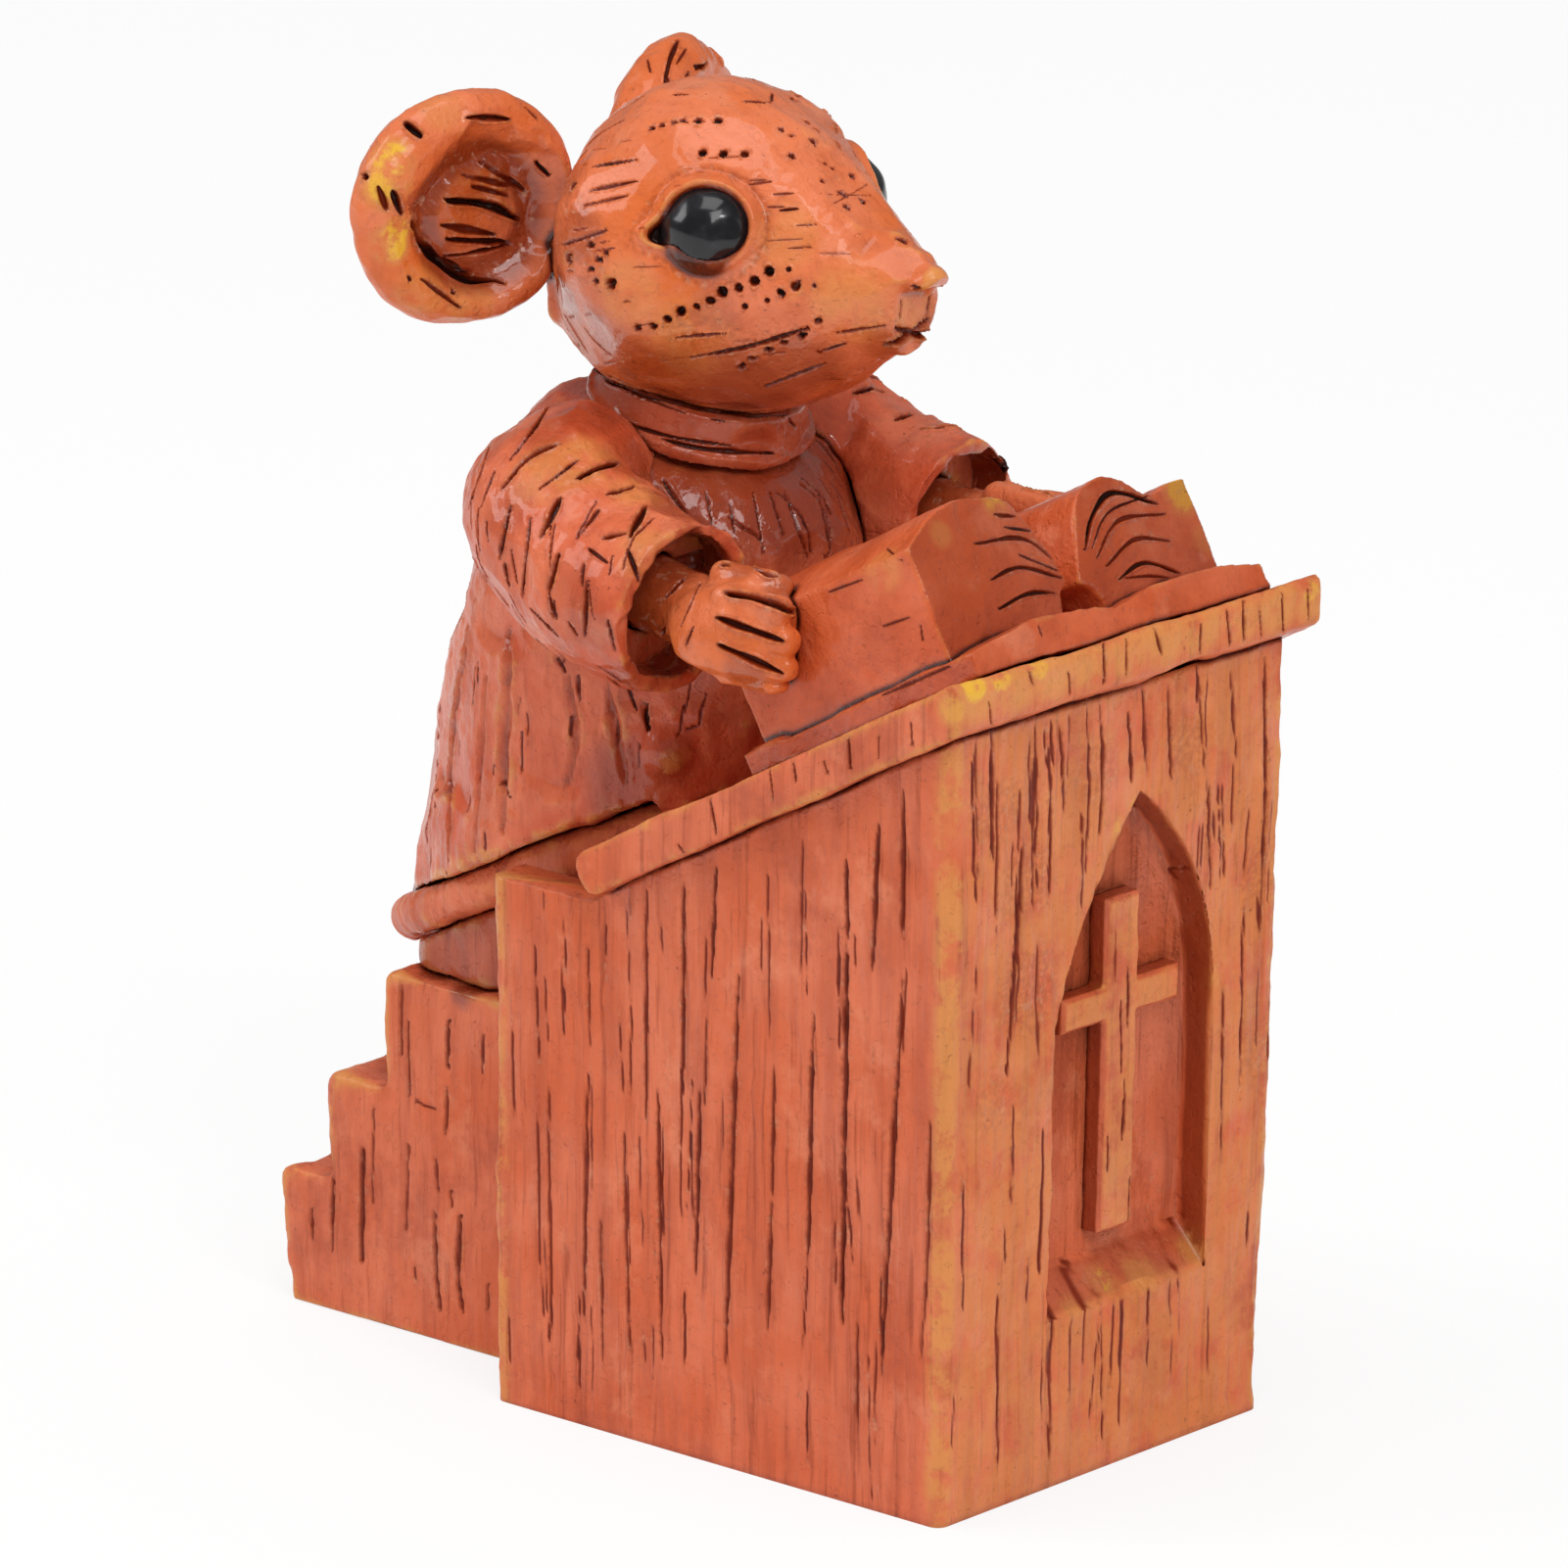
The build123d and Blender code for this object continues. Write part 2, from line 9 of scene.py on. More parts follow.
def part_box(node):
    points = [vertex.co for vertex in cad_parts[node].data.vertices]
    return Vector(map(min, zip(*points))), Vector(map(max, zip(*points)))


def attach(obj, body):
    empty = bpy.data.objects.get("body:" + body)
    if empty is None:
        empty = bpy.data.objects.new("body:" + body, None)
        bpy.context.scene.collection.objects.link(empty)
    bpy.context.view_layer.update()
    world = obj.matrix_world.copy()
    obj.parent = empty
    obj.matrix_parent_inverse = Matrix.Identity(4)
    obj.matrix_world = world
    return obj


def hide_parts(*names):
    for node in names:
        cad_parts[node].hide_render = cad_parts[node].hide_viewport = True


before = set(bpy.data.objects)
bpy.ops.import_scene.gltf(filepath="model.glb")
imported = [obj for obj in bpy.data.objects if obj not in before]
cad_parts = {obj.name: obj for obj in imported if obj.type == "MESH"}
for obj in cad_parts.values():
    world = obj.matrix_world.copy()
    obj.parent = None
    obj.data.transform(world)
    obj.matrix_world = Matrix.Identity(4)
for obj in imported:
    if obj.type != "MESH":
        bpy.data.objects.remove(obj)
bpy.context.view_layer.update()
mm = 0.001
rng = np.random.default_rng(7)
sideSign = {"right": -1, "left": 1}
longestJump = 2.5 * mm  # a stroke skips hits that lie farther on than this
print("frame loaded:", len(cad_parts), "nodes")

# the photograph's camera, in millimetres and pixels of its 1601 frame
shot = {
    "azimuth": -48.995, "elevation": 16.19, "roll": -0.2407,
    "distance": 800.6, "target": (0, 5.15, 40), "centre": (835.5, 797.5),
    "scale": 16.291, "frame": 1601, "sensor": 36.0,
}


def cameraAxes():
    turn, rise = math.radians(shot["azimuth"]), math.radians(shot["elevation"])
    back = Vector((math.sin(turn) * math.cos(rise), -math.cos(turn) * math.cos(rise), math.sin(rise)))
    right = Vector((math.cos(turn), math.sin(turn), 0))
    return back, right, back.cross(right)


def pixelRay(x, y):
    back, right, up = cameraAxes()
    spin = math.radians(-shot["roll"])
    across, rise = x - shot["centre"][0], shot["centre"][1] - y
    focal = shot["scale"] * shot["distance"]
    u = (across * math.cos(spin) - rise * math.sin(spin)) / focal
    v = (across * math.sin(spin) + rise * math.cos(spin)) / focal
    start = (Vector(shot["target"]) + back * shot["distance"]) * mm
    return start, (right * u + up * v - back).normalized()


def makeCamera():
    middle = shot["frame"] / 2
    start, along = pixelRay(middle, middle)
    data = bpy.data.cameras.new("photoCamera")
    data.sensor_width = shot["sensor"]
    data.lens = shot["scale"] * shot["distance"] / shot["frame"] * shot["sensor"]
    data.clip_start, data.clip_end = 0.05, 20
    camera = bpy.data.objects.new("photoCamera", data)
    bpy.context.scene.collection.objects.link(camera)
    camera.location = start
    level = along.to_track_quat("-Z", "Y").to_matrix()
    camera.rotation_euler = (level @ Matrix.Rotation(math.radians(-shot["roll"]), 3, "Z")).to_euler()
    bpy.context.scene.camera = camera


# mesh helpers
def objectFrom(bm, name):
    mesh = bpy.data.meshes.new(name)
    bm.to_mesh(mesh)
    bm.free()
    obj = bpy.data.objects.new(name, mesh)
    bpy.context.scene.collection.objects.link(obj)
    return obj


def bakeModifiers(obj):
    bpy.context.view_layer.update()
    solid = obj.evaluated_get(bpy.context.evaluated_depsgraph_get())
    mesh = bpy.data.meshes.new_from_object(solid)
    obj.modifiers.clear()
    old = obj.data
    obj.data = mesh
    bpy.data.meshes.remove(old)


def nodeCopy(node, name):
    bm = bmesh.new()
    bm.from_mesh(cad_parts[node].data)
    bmesh.ops.remove_doubles(bm, verts=bm.verts, dist=0.002 * mm)
    return objectFrom(bm, name)


def voxelSkin(obj, voxel, smooth=2):
    skin = obj.modifiers.new("skin", "REMESH")
    skin.mode = "VOXEL"
    skin.voxel_size = voxel * mm
    bakeModifiers(obj)
    bm = bmesh.new()
    bm.from_mesh(obj.data)
    for _ in range(smooth):
        bmesh.ops.smooth_vert(bm, verts=bm.verts, factor=0.5,
                              use_axis_x=True, use_axis_y=True, use_axis_z=True)
    bm.to_mesh(obj.data)
    bm.free()


def points(obj):
    co = np.empty(len(obj.data.vertices) * 3, np.float32)
    obj.data.vertices.foreach_get("co", co)
    return co.reshape(-1, 3).astype(float)


def normals(obj):
    out = np.empty(len(obj.data.vertices) * 3, np.float32)
    obj.data.vertices.foreach_get("normal", out)
    return out.reshape(-1, 3).astype(float)


def setPoints(obj, co):
    obj.data.vertices.foreach_set("co", co.astype(np.float32).ravel())
    obj.data.update()


def setMark(obj, name, values):
    old = obj.data.attributes.get(name)
    mark = old or obj.data.attributes.new(name, "FLOAT", "POINT")
    mark.data.foreach_set("value", values.astype(np.float32))


def getMark(obj, name):
    values = np.zeros(len(obj.data.vertices), np.float32)
    mark = obj.data.attributes.get(name)
    if mark:
        mark.data.foreach_get("value", values)
    return values.astype(float)


def raiseMark(obj, name, values):
    setMark(obj, name, np.maximum(getMark(obj, name), values))


def smoothField(obj, values, times):
    ends = np.empty(len(obj.data.edges) * 2, np.int32)
    obj.data.edges.foreach_get("vertices", ends)
    a, b = ends.reshape(-1, 2).T
    count = np.bincount(a, minlength=len(values)) + np.bincount(b, minlength=len(values))
    for _ in range(times):
        total = np.bincount(a, values[b], len(values)) + np.bincount(b, values[a], len(values))
        values = 0.5 * values + 0.5 * total / np.maximum(count, 1)
    return values


def wobble(co, wave, seed):
    pick = np.random.default_rng(seed)
    total = np.zeros(len(co))
    for _ in range(9):
        way = pick.normal(size=3)
        way *= 2 * math.pi / (wave * mm * pick.uniform(0.7, 1.6)) / np.linalg.norm(way)
        total += np.sin(co @ way + pick.uniform(0, 6.28))
    return total / 3


def smoothStep(low, high, value):
    t = np.clip((value - low) / (high - low), 0, 1)
    return t * t * (3 - 2 * t)


def bell(value, middle, width):
    return np.exp(-(((value - middle) / width) ** 2))


def easyCurve(x, knots, values):
    # smooth curve through a few rows
    slope = np.gradient(values, knots)
    i = np.clip(np.searchsorted(knots, x) - 1, 0, len(knots) - 2)
    wide = knots[i + 1] - knots[i]
    t = (x - knots[i]) / wide
    return ((2 * t**3 - 3 * t**2 + 1) * values[i] + (t**3 - 2 * t**2 + t) * wide * slope[i]
            + (3 * t**2 - 2 * t**3) * values[i + 1] + (t**3 - t**2) * wide * slope[i + 1])


def sightTree(obj):
    return BVHTree.FromObject(obj, bpy.context.evaluated_depsgraph_get())


def castLine(tree, rays):
    # where a row of rays meets the piece, without the hits that jump to another form
    laid = []
    for ray in rays:
        hit = tree.ray_cast(*ray)[0]
        if hit is not None and (not laid or (hit - Vector(laid[-1])).length < longestJump):
            laid.append(tuple(hit))
    return laid


def strokeOf(laid, width, depth, paint):
    return {"path": np.array(laid), "width": width, "depth": depth * width, "paint": paint}


# carved strokes: each is a pixel path in the photograph and its width, laid on the piece it hits
def layStrokes(obj, paths, depth=0.7, paint=1.0, bold=0.85):
    tree = sightTree(obj)
    strokes = []
    for path in paths:
        knots = np.array(path[:-1], float).reshape(-1, 2)
        if len(knots) == 1:  # a punched dot
            hit, face = tree.ray_cast(*pixelRay(*path[:2]))[:2]
            if hit is not None:
                width = 0.95 * path[-1] / shot["scale"] * mm
                lean = Vector((0, -1, rng.normal(0.2, 0.5)))
                flat = lean.cross(face).cross(face).normalized() * 0.45 * width
                strokes.append(strokeOf([hit - flat, hit, hit + flat], width, depth,
                                        paint * rng.uniform(0.7, 1.0)))
            continue
        gaps = np.r_[0, np.cumsum(np.hypot(*np.diff(knots, axis=0).T))]
        spots = np.linspace(0, gaps[-1], max(3, int(gaps[-1] / 5)))
        pixels = zip(easyCurve(spots, gaps, knots[:, 0]), easyCurve(spots, gaps, knots[:, 1]))
        laid = castLine(tree, [pixelRay(x, y) for x, y in pixels])
        if len(laid) > 1:
            width = bold * path[-1] / shot["scale"] * mm
            strokes.append(strokeOf(laid, width, depth, paint * rng.uniform(0.62, 1.0)))
    return strokes


def mirrorStrokes(obj, strokes, jitter=0.4):
    tree = sightTree(obj)
    turned = []
    for stroke in strokes:
        path = stroke["path"] * (-1, 1, 1) + rng.normal(0, jitter * mm, 3)
        laid = [tuple(tree.find_nearest(Vector(p))[0]) for p in path]
        turned.append({**stroke, "path": np.array(laid)})
    return turned


def rayStrokes(obj, rows, turn=-1):
    # seeded strokes within a box, for hidden sides and for grain too fine to read off the photograph
    # the rows are written for the right side, and a turn of 1 mirrors them
    tree, flip = sightTree(obj), np.array((-turn, 1, 1), float)
    strokes = []
    for row in rows:
        box = np.sort([np.array(row["low"]) * flip, np.array(row["high"]) * flip], axis=0)
        face = Vector(np.array(row["facing"]) * flip).normalized()
        way = Vector(np.array(row.get("along", (0, 0, 1))) * flip).normalized()
        for _ in range(row["count"]):
            middle = Vector([rng.uniform(low, high) * mm for low, high in box.T])
            long = rng.uniform(*row["length"])
            tilt = way.lerp(Vector(rng.normal(0, 1, 3)), 0.04).normalized()
            shares = np.linspace(-0.5, 0.5, 12)
            starts = [middle + tilt * share * long * mm + face * 30 * mm for share in shares]
            laid = castLine(tree, [(start, -face) for start in starts])
            if len(laid) > 2:
                wide = rng.uniform(*row["width"]) * mm
                paint = row.get("paint", 1.0) * rng.uniform(0.5, 0.95)
                strokes.append(strokeOf(laid, wide, row.get("depth", 0.6), paint))
    return strokes


# a stroke's tapered ends, the hand's shiver in its width, and how its burr and paint spread
strokeForm = {
    "taper": (0.22, 0.88), "shiver": (0.94, 0.16), "shiverLength": 0.55, "valley": 1.2, "burr": (1.25, 0.3),
    "paintEdge": (1.05, 0.55), "stainReach": 1.7,
}


def strokeDistance(co, stroke, reach):
    # distance to the stroke's centre line in units of its local half width, and who is near
    path = stroke["path"]
    low, high = path.min(0) - reach, path.max(0) + reach
    near = np.where(((co > low) & (co < high)).all(1))[0]
    if not len(near):
        return near, None
    spot = co[near]
    best = np.full(len(near), 1e9)
    place = np.zeros(len(near))
    lengths = np.r_[0, np.cumsum(np.linalg.norm(np.diff(path, axis=0), axis=1))]
    for i in range(len(path) - 1):
        step = path[i + 1] - path[i]
        size = max(step @ step, 1e-16)
        t = np.clip((spot - path[i]) @ step / size, 0, 1)
        gap = np.linalg.norm(spot - path[i] - t[:, None] * step, axis=1)
        closer = gap < best
        best[closer] = gap[closer]
        place[closer] = (lengths[i] + t * math.sqrt(size))[closer]
    share = place / max(lengths[-1], 1e-9)
    ends, full = strokeForm["taper"]
    steady, shiver = strokeForm["shiver"]
    taper = ends + full * np.sqrt(np.clip(4 * share * (1 - share), 0, 1))
    taper *= steady + shiver * np.sin(place / (strokeForm["shiverLength"] * mm) + path[0, 2] / (0.1 * mm))
    return near, best / (0.5 * stroke["width"] * taper)


def splitWhere(obj, close):
    bm = bmesh.new()
    bm.from_mesh(obj.data)
    bm.verts.ensure_lookup_table()
    edges = [e for e in bm.edges if close[e.verts[0].index] and close[e.verts[1].index]]
    bmesh.ops.subdivide_edges(bm, edges=edges, cuts=1, use_grid_fill=True)
    bm.to_mesh(obj.data)
    bm.free()


def refineNear(obj, strokes, levels):
    for level in range(levels):
        share, margin = (1.1, 0.25) if level == 0 else (0.75, 0.1)
        co = points(obj)
        close = np.zeros(len(co), bool)
        for stroke in strokes:
            reach = stroke["width"] * share + margin * mm
            near, gap = strokeDistance(co, stroke, reach)
            if gap is not None:
                close[near[gap * 0.5 * stroke["width"] < reach]] = True
        splitWhere(obj, close)


def cutStrokes(obj, strokes, levels=1, lip=0.28):
    refineNear(obj, strokes, levels)
    co, out = points(obj), normals(obj)
    sink = np.zeros(len(co))
    groove, stain = getMark(obj, "groove"), getMark(obj, "stain")
    for stroke in strokes:
        near, gap = strokeDistance(co, stroke, 3 * stroke["width"])
        if gap is None:
            continue
        valley = np.clip(1 - gap * gap, 0, 1) ** strokeForm["valley"]
        burr = lip * bell(gap, *strokeForm["burr"])
        deep = stroke["depth"] * (valley - burr)
        sink[near] = np.where(np.abs(deep) > np.abs(sink[near]), deep, sink[near])
        painted = stroke["paint"] * smoothStep(*strokeForm["paintEdge"], gap)
        stained = stroke["paint"] * bell(gap, 0, strokeForm["stainReach"])
        groove[near] = np.maximum(groove[near], painted)
        stain[near] = np.maximum(stain[near], stained)
    setPoints(obj, co - out * sink[:, None])
    setMark(obj, "groove", groove)
    setMark(obj, "stain", stain)


def pushBrush(obj, centre, radius, amount):
    co, out = points(obj), normals(obj)
    away = np.linalg.norm(co - np.array(centre), axis=1) / (radius * mm)
    setPoints(obj, co + out * (amount * mm * np.clip(1 - away * away, 0, 1) ** 2)[:, None])


def pushAt(obj, spots, bothSides=False):
    # each spot is a pixel in the photograph, a radius and a height in millimetres
    tree = sightTree(obj)
    for x, y, radius, amount in spots:
        hit = tree.ray_cast(*pixelRay(x, y))[0]
        if hit is not None:
            pushBrush(obj, hit, radius, amount)
            if bothSides:
                pushBrush(obj, hit * Vector((-1, 1, 1)), radius, amount)


def tintAt(obj, name, spots, bothSides=False):
    # paint laid by brush: a pixel, a radius in millimetres and a strength
    tree, co, values = sightTree(obj), points(obj), getMark(obj, name)
    for x, y, radius, strength in spots:
        hit = tree.ray_cast(*pixelRay(x, y))[0]
        for side in (1, -1) if bothSides else (1,):
            if hit is not None:
                away = np.linalg.norm(co - np.array(hit) * (side, 1, 1), axis=1) / (radius * mm)
                values = np.maximum(values, strength * smoothStep(1.0, 0.45, away))
    setMark(obj, name, values)


def whittle(obj, count, depth, reach, seed):
    # flat knife cuts, each a plane a little below the skin
    co, out = points(obj), normals(obj)
    pick = np.random.default_rng(seed)
    for spot in pick.choice(len(co), count, replace=False):
        centre, face = co[spot].copy(), out[spot]
        away = np.linalg.norm(co - centre, axis=1)
        near = np.where(away < reach * mm)[0]
        over = (co[near] - centre) @ face + depth * mm * pick.uniform(0.4, 1)
        fade = smoothStep(reach * mm, 0.6 * reach * mm, away[near])
        co[near] -= face * (np.clip(over, 0, None) * fade)[:, None]
    setPoints(obj, co)


def roughen(obj, sway, wave, seed):
    co, out = points(obj), normals(obj)
    free = smoothStep(0.3, 1.5, co[:, 2] / mm)  # the underside stays flat
    lumps = wobble(co, wave, seed) + 0.3 * wobble(co, 1.7, seed + 1) + 0.15 * wobble(co, 0.9, seed + 2)
    setPoints(obj, co + out * (sway * mm * lumps * free)[:, None])


def handCast(obj, form):
    # the lumps of a hand-made skin, then knife cuts
    roughen(obj, form["sway"], form["wave"], form["seed"])
    if "cuts" in form:
        whittle(obj, *form["cuts"], form.get("cutSeed", form["seed"]))


def markForms(obj, wide=14, proudest=0.16, deepest=0.16):
    # worn edges stand proud of their surroundings; hollows lie below them and are darkened, dark wash and
    # painted shade together
    co, out = points(obj), normals(obj)
    soft = np.stack([smoothField(obj, co[:, i], wide) for i in range(3)], 1)
    proud = ((co - soft) * out).sum(1) / mm
    setMark(obj, "worn", smoothStep(0.25 * proudest, proudest, smoothField(obj, proud, 2)))
    sunk = smoothStep(0.2 * deepest, deepest, -smoothField(obj, proud, 3))
    raiseMark(obj, "hollow", sunk)


shownPieces = []


def finishPiece(obj, node, material):
    for face in obj.data.polygons:
        face.use_smooth = True
    for name in ("groove", "stain", "worn", "hollow", "gold", "seamAndShade"):
        if not obj.data.attributes.get(name):
            setMark(obj, name, np.zeros(len(obj.data.vertices)))
    obj.data.materials.clear()
    obj.data.materials.append(material)
    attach(obj, "root")
    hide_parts(node)
    shownPieces.append(obj)
    print(node, "faces:", len(obj.data.polygons))


def markSeamsAndShade(reach):
    # dark joint paint, and painted shade, gather where two pieces meet
    trees = {obj: sightTree(obj) for obj in shownPieces}
    for obj in shownPieces:
        co = points(obj)
        seamAndShade = np.zeros(len(co))
        for other in shownPieces:
            if other is obj:
                continue
            far = points(other)
            low, high = far.min(0) - reach * mm, far.max(0) + reach * mm
            for i in np.where(((co > low) & (co < high)).all(1))[0]:
                gap = trees[other].find_nearest(Vector(co[i]), reach * mm)[3]
                if gap is not None:
                    seamAndShade[i] = max(seamAndShade[i], 1 - gap / (reach * mm))
        setMark(obj, "seamAndShade", seamAndShade)


# shader maths
class Wire:
    def __init__(self, tree, socket=None):
        self.tree, self.socket = tree, socket

    def node(self, kind, inputs=None, output=0, **settings):
        made = self.tree.nodes.new(kind)
        for key, value in settings.items():
            setattr(made, key, value)
        for key, value in (inputs or {}).items():
            if isinstance(value, Wire):
                self.tree.links.new(value.socket, made.inputs[key])
            else:
                made.inputs[key].default_value = value
        return Wire(self.tree, made.outputs[output])

    def maths(self, operation, *values):
        return self.node("ShaderNodeMath", dict(enumerate(values)), operation=operation)

    def __add__(self, other):
        return self.maths("ADD", self, other)

    __radd__ = __add__

    def __sub__(self, other):
        return self.maths("SUBTRACT", self, other)

    def __rsub__(self, other):
        return self.maths("SUBTRACT", other, self)

    def __mul__(self, other):
        return self.maths("MULTIPLY", self, other)

    __rmul__ = __mul__

    def clamp(self, low, high):
        return self.node("ShaderNodeMapRange", {"Value": self, "From Min": low, "From Max": high},
                         interpolation_type="SMOOTHSTEP")

    def most(self, other):
        return self.maths("MAXIMUM", self, other)

    def blend(self, first, second):
        return self.node("ShaderNodeMix", {0: self, 6: first, 7: second}, output=2, data_type="RGBA")


def srgb(red, green, blue):
    def linear(c):
        c = c / 255
        return c / 12.92 if c <= 0.04045 else ((c + 0.055) / 1.055) ** 2.4
    return (linear(red), linear(green), linear(blue), 1)


def newMaterial(name):
    material = bpy.data.materials.new(name)
    material.use_nodes = True
    return material, material.node_tree.nodes["Principled BSDF"], Wire(material.node_tree)


def noiseAt(kit, scale, detail=3, stretch=(1, 1, 1), rough=0.55):
    spot = kit.node("ShaderNodeTexCoord", output=3)
    turned = kit.node("ShaderNodeMapping", {"Vector": spot, "Scale": stretch})
    return kit.node("ShaderNodeTexNoise",
                    {"Vector": turned, "Scale": scale, "Detail": detail, "Roughness": rough})


# painted resin: a base coat, streaked wash, dark paint in the cuts, ochre on the edges, painted shade in
# hollows and where pieces meet, varnish over all
def paintedResin(name, look):
    material, shader, kit = newMaterial(name)

    def mark(word):
        return kit.node("ShaderNodeAttribute", output=2, attribute_name=word)

    groove, stain, worn = mark("groove"), mark("stain"), mark("worn")
    hollow, gold, seamAndShade = mark("hollow"), mark("gold"), mark("seamAndShade")
    patches = noiseAt(kit, scale=130, detail=4).clamp(0.36, 0.66)
    streaks = noiseAt(kit, look["streakScale"], detail=5, stretch=look["streak"], rough=0.65)
    streaks = streaks.clamp(0.42, 0.66)
    blots = noiseAt(kit, scale=330, detail=5, rough=0.7)
    fine = noiseAt(kit, scale=2600)
    chips = noiseAt(kit, scale=1500, detail=2, rough=0.4)
    colour = patches.blend(look["base"], look["second"])
    colour = (streaks * look["streakShare"]).blend(colour, look["wash"])
    drawn = look["streak"][:2] + (0.4 * look["streak"][2],)
    lines = noiseAt(kit, scale=1700, stretch=drawn, rough=0.6).clamp(0.54, 0.70)
    colour = (lines * look["lineShare"]).blend(colour, look["stainColour"])
    grime = noiseAt(kit, scale=75, detail=6, rough=0.68).clamp(0.53, 0.68)
    colour = (grime * look["grime"]).blend(colour, look["wash"])
    pale = noiseAt(kit, scale=190, detail=5, rough=0.65).clamp(0.54, 0.70)
    colour = (pale * 0.35).blend(colour, look["pale"])
    ochre = (worn * blots.clamp(0.40, 0.55) * look["edgeShare"]).most(gold * blots.clamp(0.30, 0.58))
    colour = ochre.blend(colour, look["edge"])
    colour = (gold.clamp(0.72, 1.0) * blots.clamp(0.42, 0.54)).blend(colour, look["yellow"])
    # the hollow mark darkens as dark wash and painted shade together
    colour = (hollow * look["washShadeShare"]).blend(colour, look["washShadeColour"])
    # painted shade near other pieces, spread in stain colour, then a black joint line where they touch
    seamShadeSpread = seamAndShade * seamAndShade * (0.45 + blots) * look["seamShadeShare"]
    colour = seamShadeSpread.clamp(0.05, 0.75).blend(colour, look["stainColour"])
    meeting = seamAndShade.clamp(0.62, 0.97) * blots.clamp(0.30, 0.52) * look["seamShadeShare"]
    colour = meeting.blend(colour, look["groove"])
    colour = (stain * fine.clamp(0.35, 0.62) * 0.7).blend(colour, look["stainColour"])
    flecks = stain * (1 - groove) * chips.clamp(0.60, 0.66)
    colour = (flecks * 0.3).blend(colour, look["chip"])
    colour = groove.clamp(0.0, 0.55).blend(colour, look["stainColour"])
    colour = groove.clamp(0.55, 0.95).blend(colour, look["groove"])
    specks = fine.clamp(0.64, 0.74) * blots.clamp(0.45, 0.65) * look["speckle"]
    colour = specks.blend(colour, look["groove"])
    kit.tree.links.new(colour.socket, shader.inputs["Base Color"])
    wet = hollow.most(seamAndShade * 0.8)
    dull = look["rough"] + 0.18 * (patches - 0.5) + 0.10 * (blots - 0.5) - look["wetDrop"] * wet
    kit.tree.links.new(dull.socket, shader.inputs["Roughness"])
    shader.inputs["Specular IOR Level"].default_value = 0.15
    varnish = (look["varnish"] + 0.5 * wet) * (1 - 0.8 * groove)
    kit.tree.links.new(varnish.socket, shader.inputs["Coat Weight"])
    shader.inputs["Coat Roughness"].default_value = 0.07
    height = noiseAt(kit, scale=900, detail=4, stretch=look["streak"])
    height = height + 0.5 * fine + 0.9 * blots - 0.5 * chips.clamp(0.62, 0.70)
    bump = kit.node("ShaderNodeBump", {"Strength": look["bump"], "Distance": 0.0004, "Height": height})
    kit.tree.links.new(bump.socket, shader.inputs["Normal"])
    return material


resinLook = {
    "base": srgb(216, 113, 77), "second": srgb(208, 98, 58), "wash": srgb(170, 76, 50),
    "washShadeColour": srgb(128, 42, 16), "edge": srgb(216, 146, 76), "yellow": srgb(230, 176, 56),
    "stainColour": srgb(126, 40, 14), "groove": srgb(40, 15, 9), "chip": srgb(240, 196, 160),
    "pale": srgb(232, 146, 110), "streak": (1, 1, 0.10), "streakScale": 520, "streakShare": 0.5,
    "washShadeShare": 0.75, "edgeShare": 0.7, "seamShadeShare": 0.9, "speckle": 0.6, "grime": 0.6, "lineShare": 0.45,
    "rough": 0.44, "wetDrop": 0.28, "varnish": 0.15, "bump": 0.42,
}
pulpitPaint = paintedResin("pulpitPaint", {**resinLook, "groove": srgb(84, 22, 7)})
bookPaint = paintedResin("bookPaint", {
    **resinLook, "base": srgb(214, 106, 68), "second": srgb(202, 86, 38), "streak": (1, 1, 1),
    "streakScale": 260, "streakShare": 0.3, "lineShare": 0.15, "varnish": 0.3, "rough": 0.36,
})
robePaint = paintedResin("robePaint", {
    **resinLook, "base": srgb(218, 114, 78), "second": srgb(202, 84, 48), "groove": srgb(60, 18, 8),
    "streak": (1, 1, 0.25), "streakScale": 300, "lineShare": 0.2, "seamShadeShare": 0.7, "varnish": 0.4,
    "rough": 0.36,
})
furPaint = paintedResin("furPaint", {
    **resinLook, "base": srgb(226, 122, 80), "second": srgb(216, 104, 46), "wash": srgb(186, 84, 36),
    "streak": (1, 0.35, 1), "streakScale": 240, "streakShare": 0.3, "lineShare": 0.15, "varnish": 0.45,
    "rough": 0.36,
})


def blackEnamel():
    material, shader, kit = newMaterial("eyeEnamel")
    colour = noiseAt(kit, scale=900).clamp(0.4, 0.75).blend(srgb(20, 20, 23), srgb(36, 36, 40))
    kit.tree.links.new(colour.socket, shader.inputs["Base Color"])
    dull = 0.08 + 0.22 * noiseAt(kit, scale=500, detail=4)
    kit.tree.links.new(dull.socket, shader.inputs["Roughness"])
    shader.inputs["Specular IOR Level"].default_value = 0.35
    shader.inputs["Coat Weight"].default_value = 0.3
    shader.inputs["Coat Roughness"].default_value = 0.06
    return material


eyeEnamel = blackEnamel()
print("materials made")

# pulpit case: a tapered block on a fine grid, cut for the niche and the well
caseForm = {
    "width": 32.0, "footWidth": 31.1, "depth": 37.0, "rearHeight": 34.7, "lean": 1.1,
    "ledge": 8.2, "slope": 28.4, "corner": 0.8, "columns": 0.17, "rows": 0.55,
    "well": (25.4, 8.0, 24.0),
    "nicheMiddle": 2.0, "nicheWidth": 15.3, "sill": 10.9, "spring": 30.0, "apex": 43.7,
    "bulges": (0.9, 1.8), "nicheDepth": 2.5, "sillRise": 2.8,
    "rowGaps": (0.2, 0.5, 1.0, 1.5, 2.0, 2.3), "rowSteps": (0.5, 0.8), "rowZone": ((-20, -14), (8, 45)),
    "sway": 0.10, "wave": 7, "seed": 3, "grainDepth": (0.06, 0.025),
    "wornEdge": (1.7, 0.6), "goldEdge": (1.1, 0.5), "sillShade": 0.45, "nicheShade": 0.05,
}
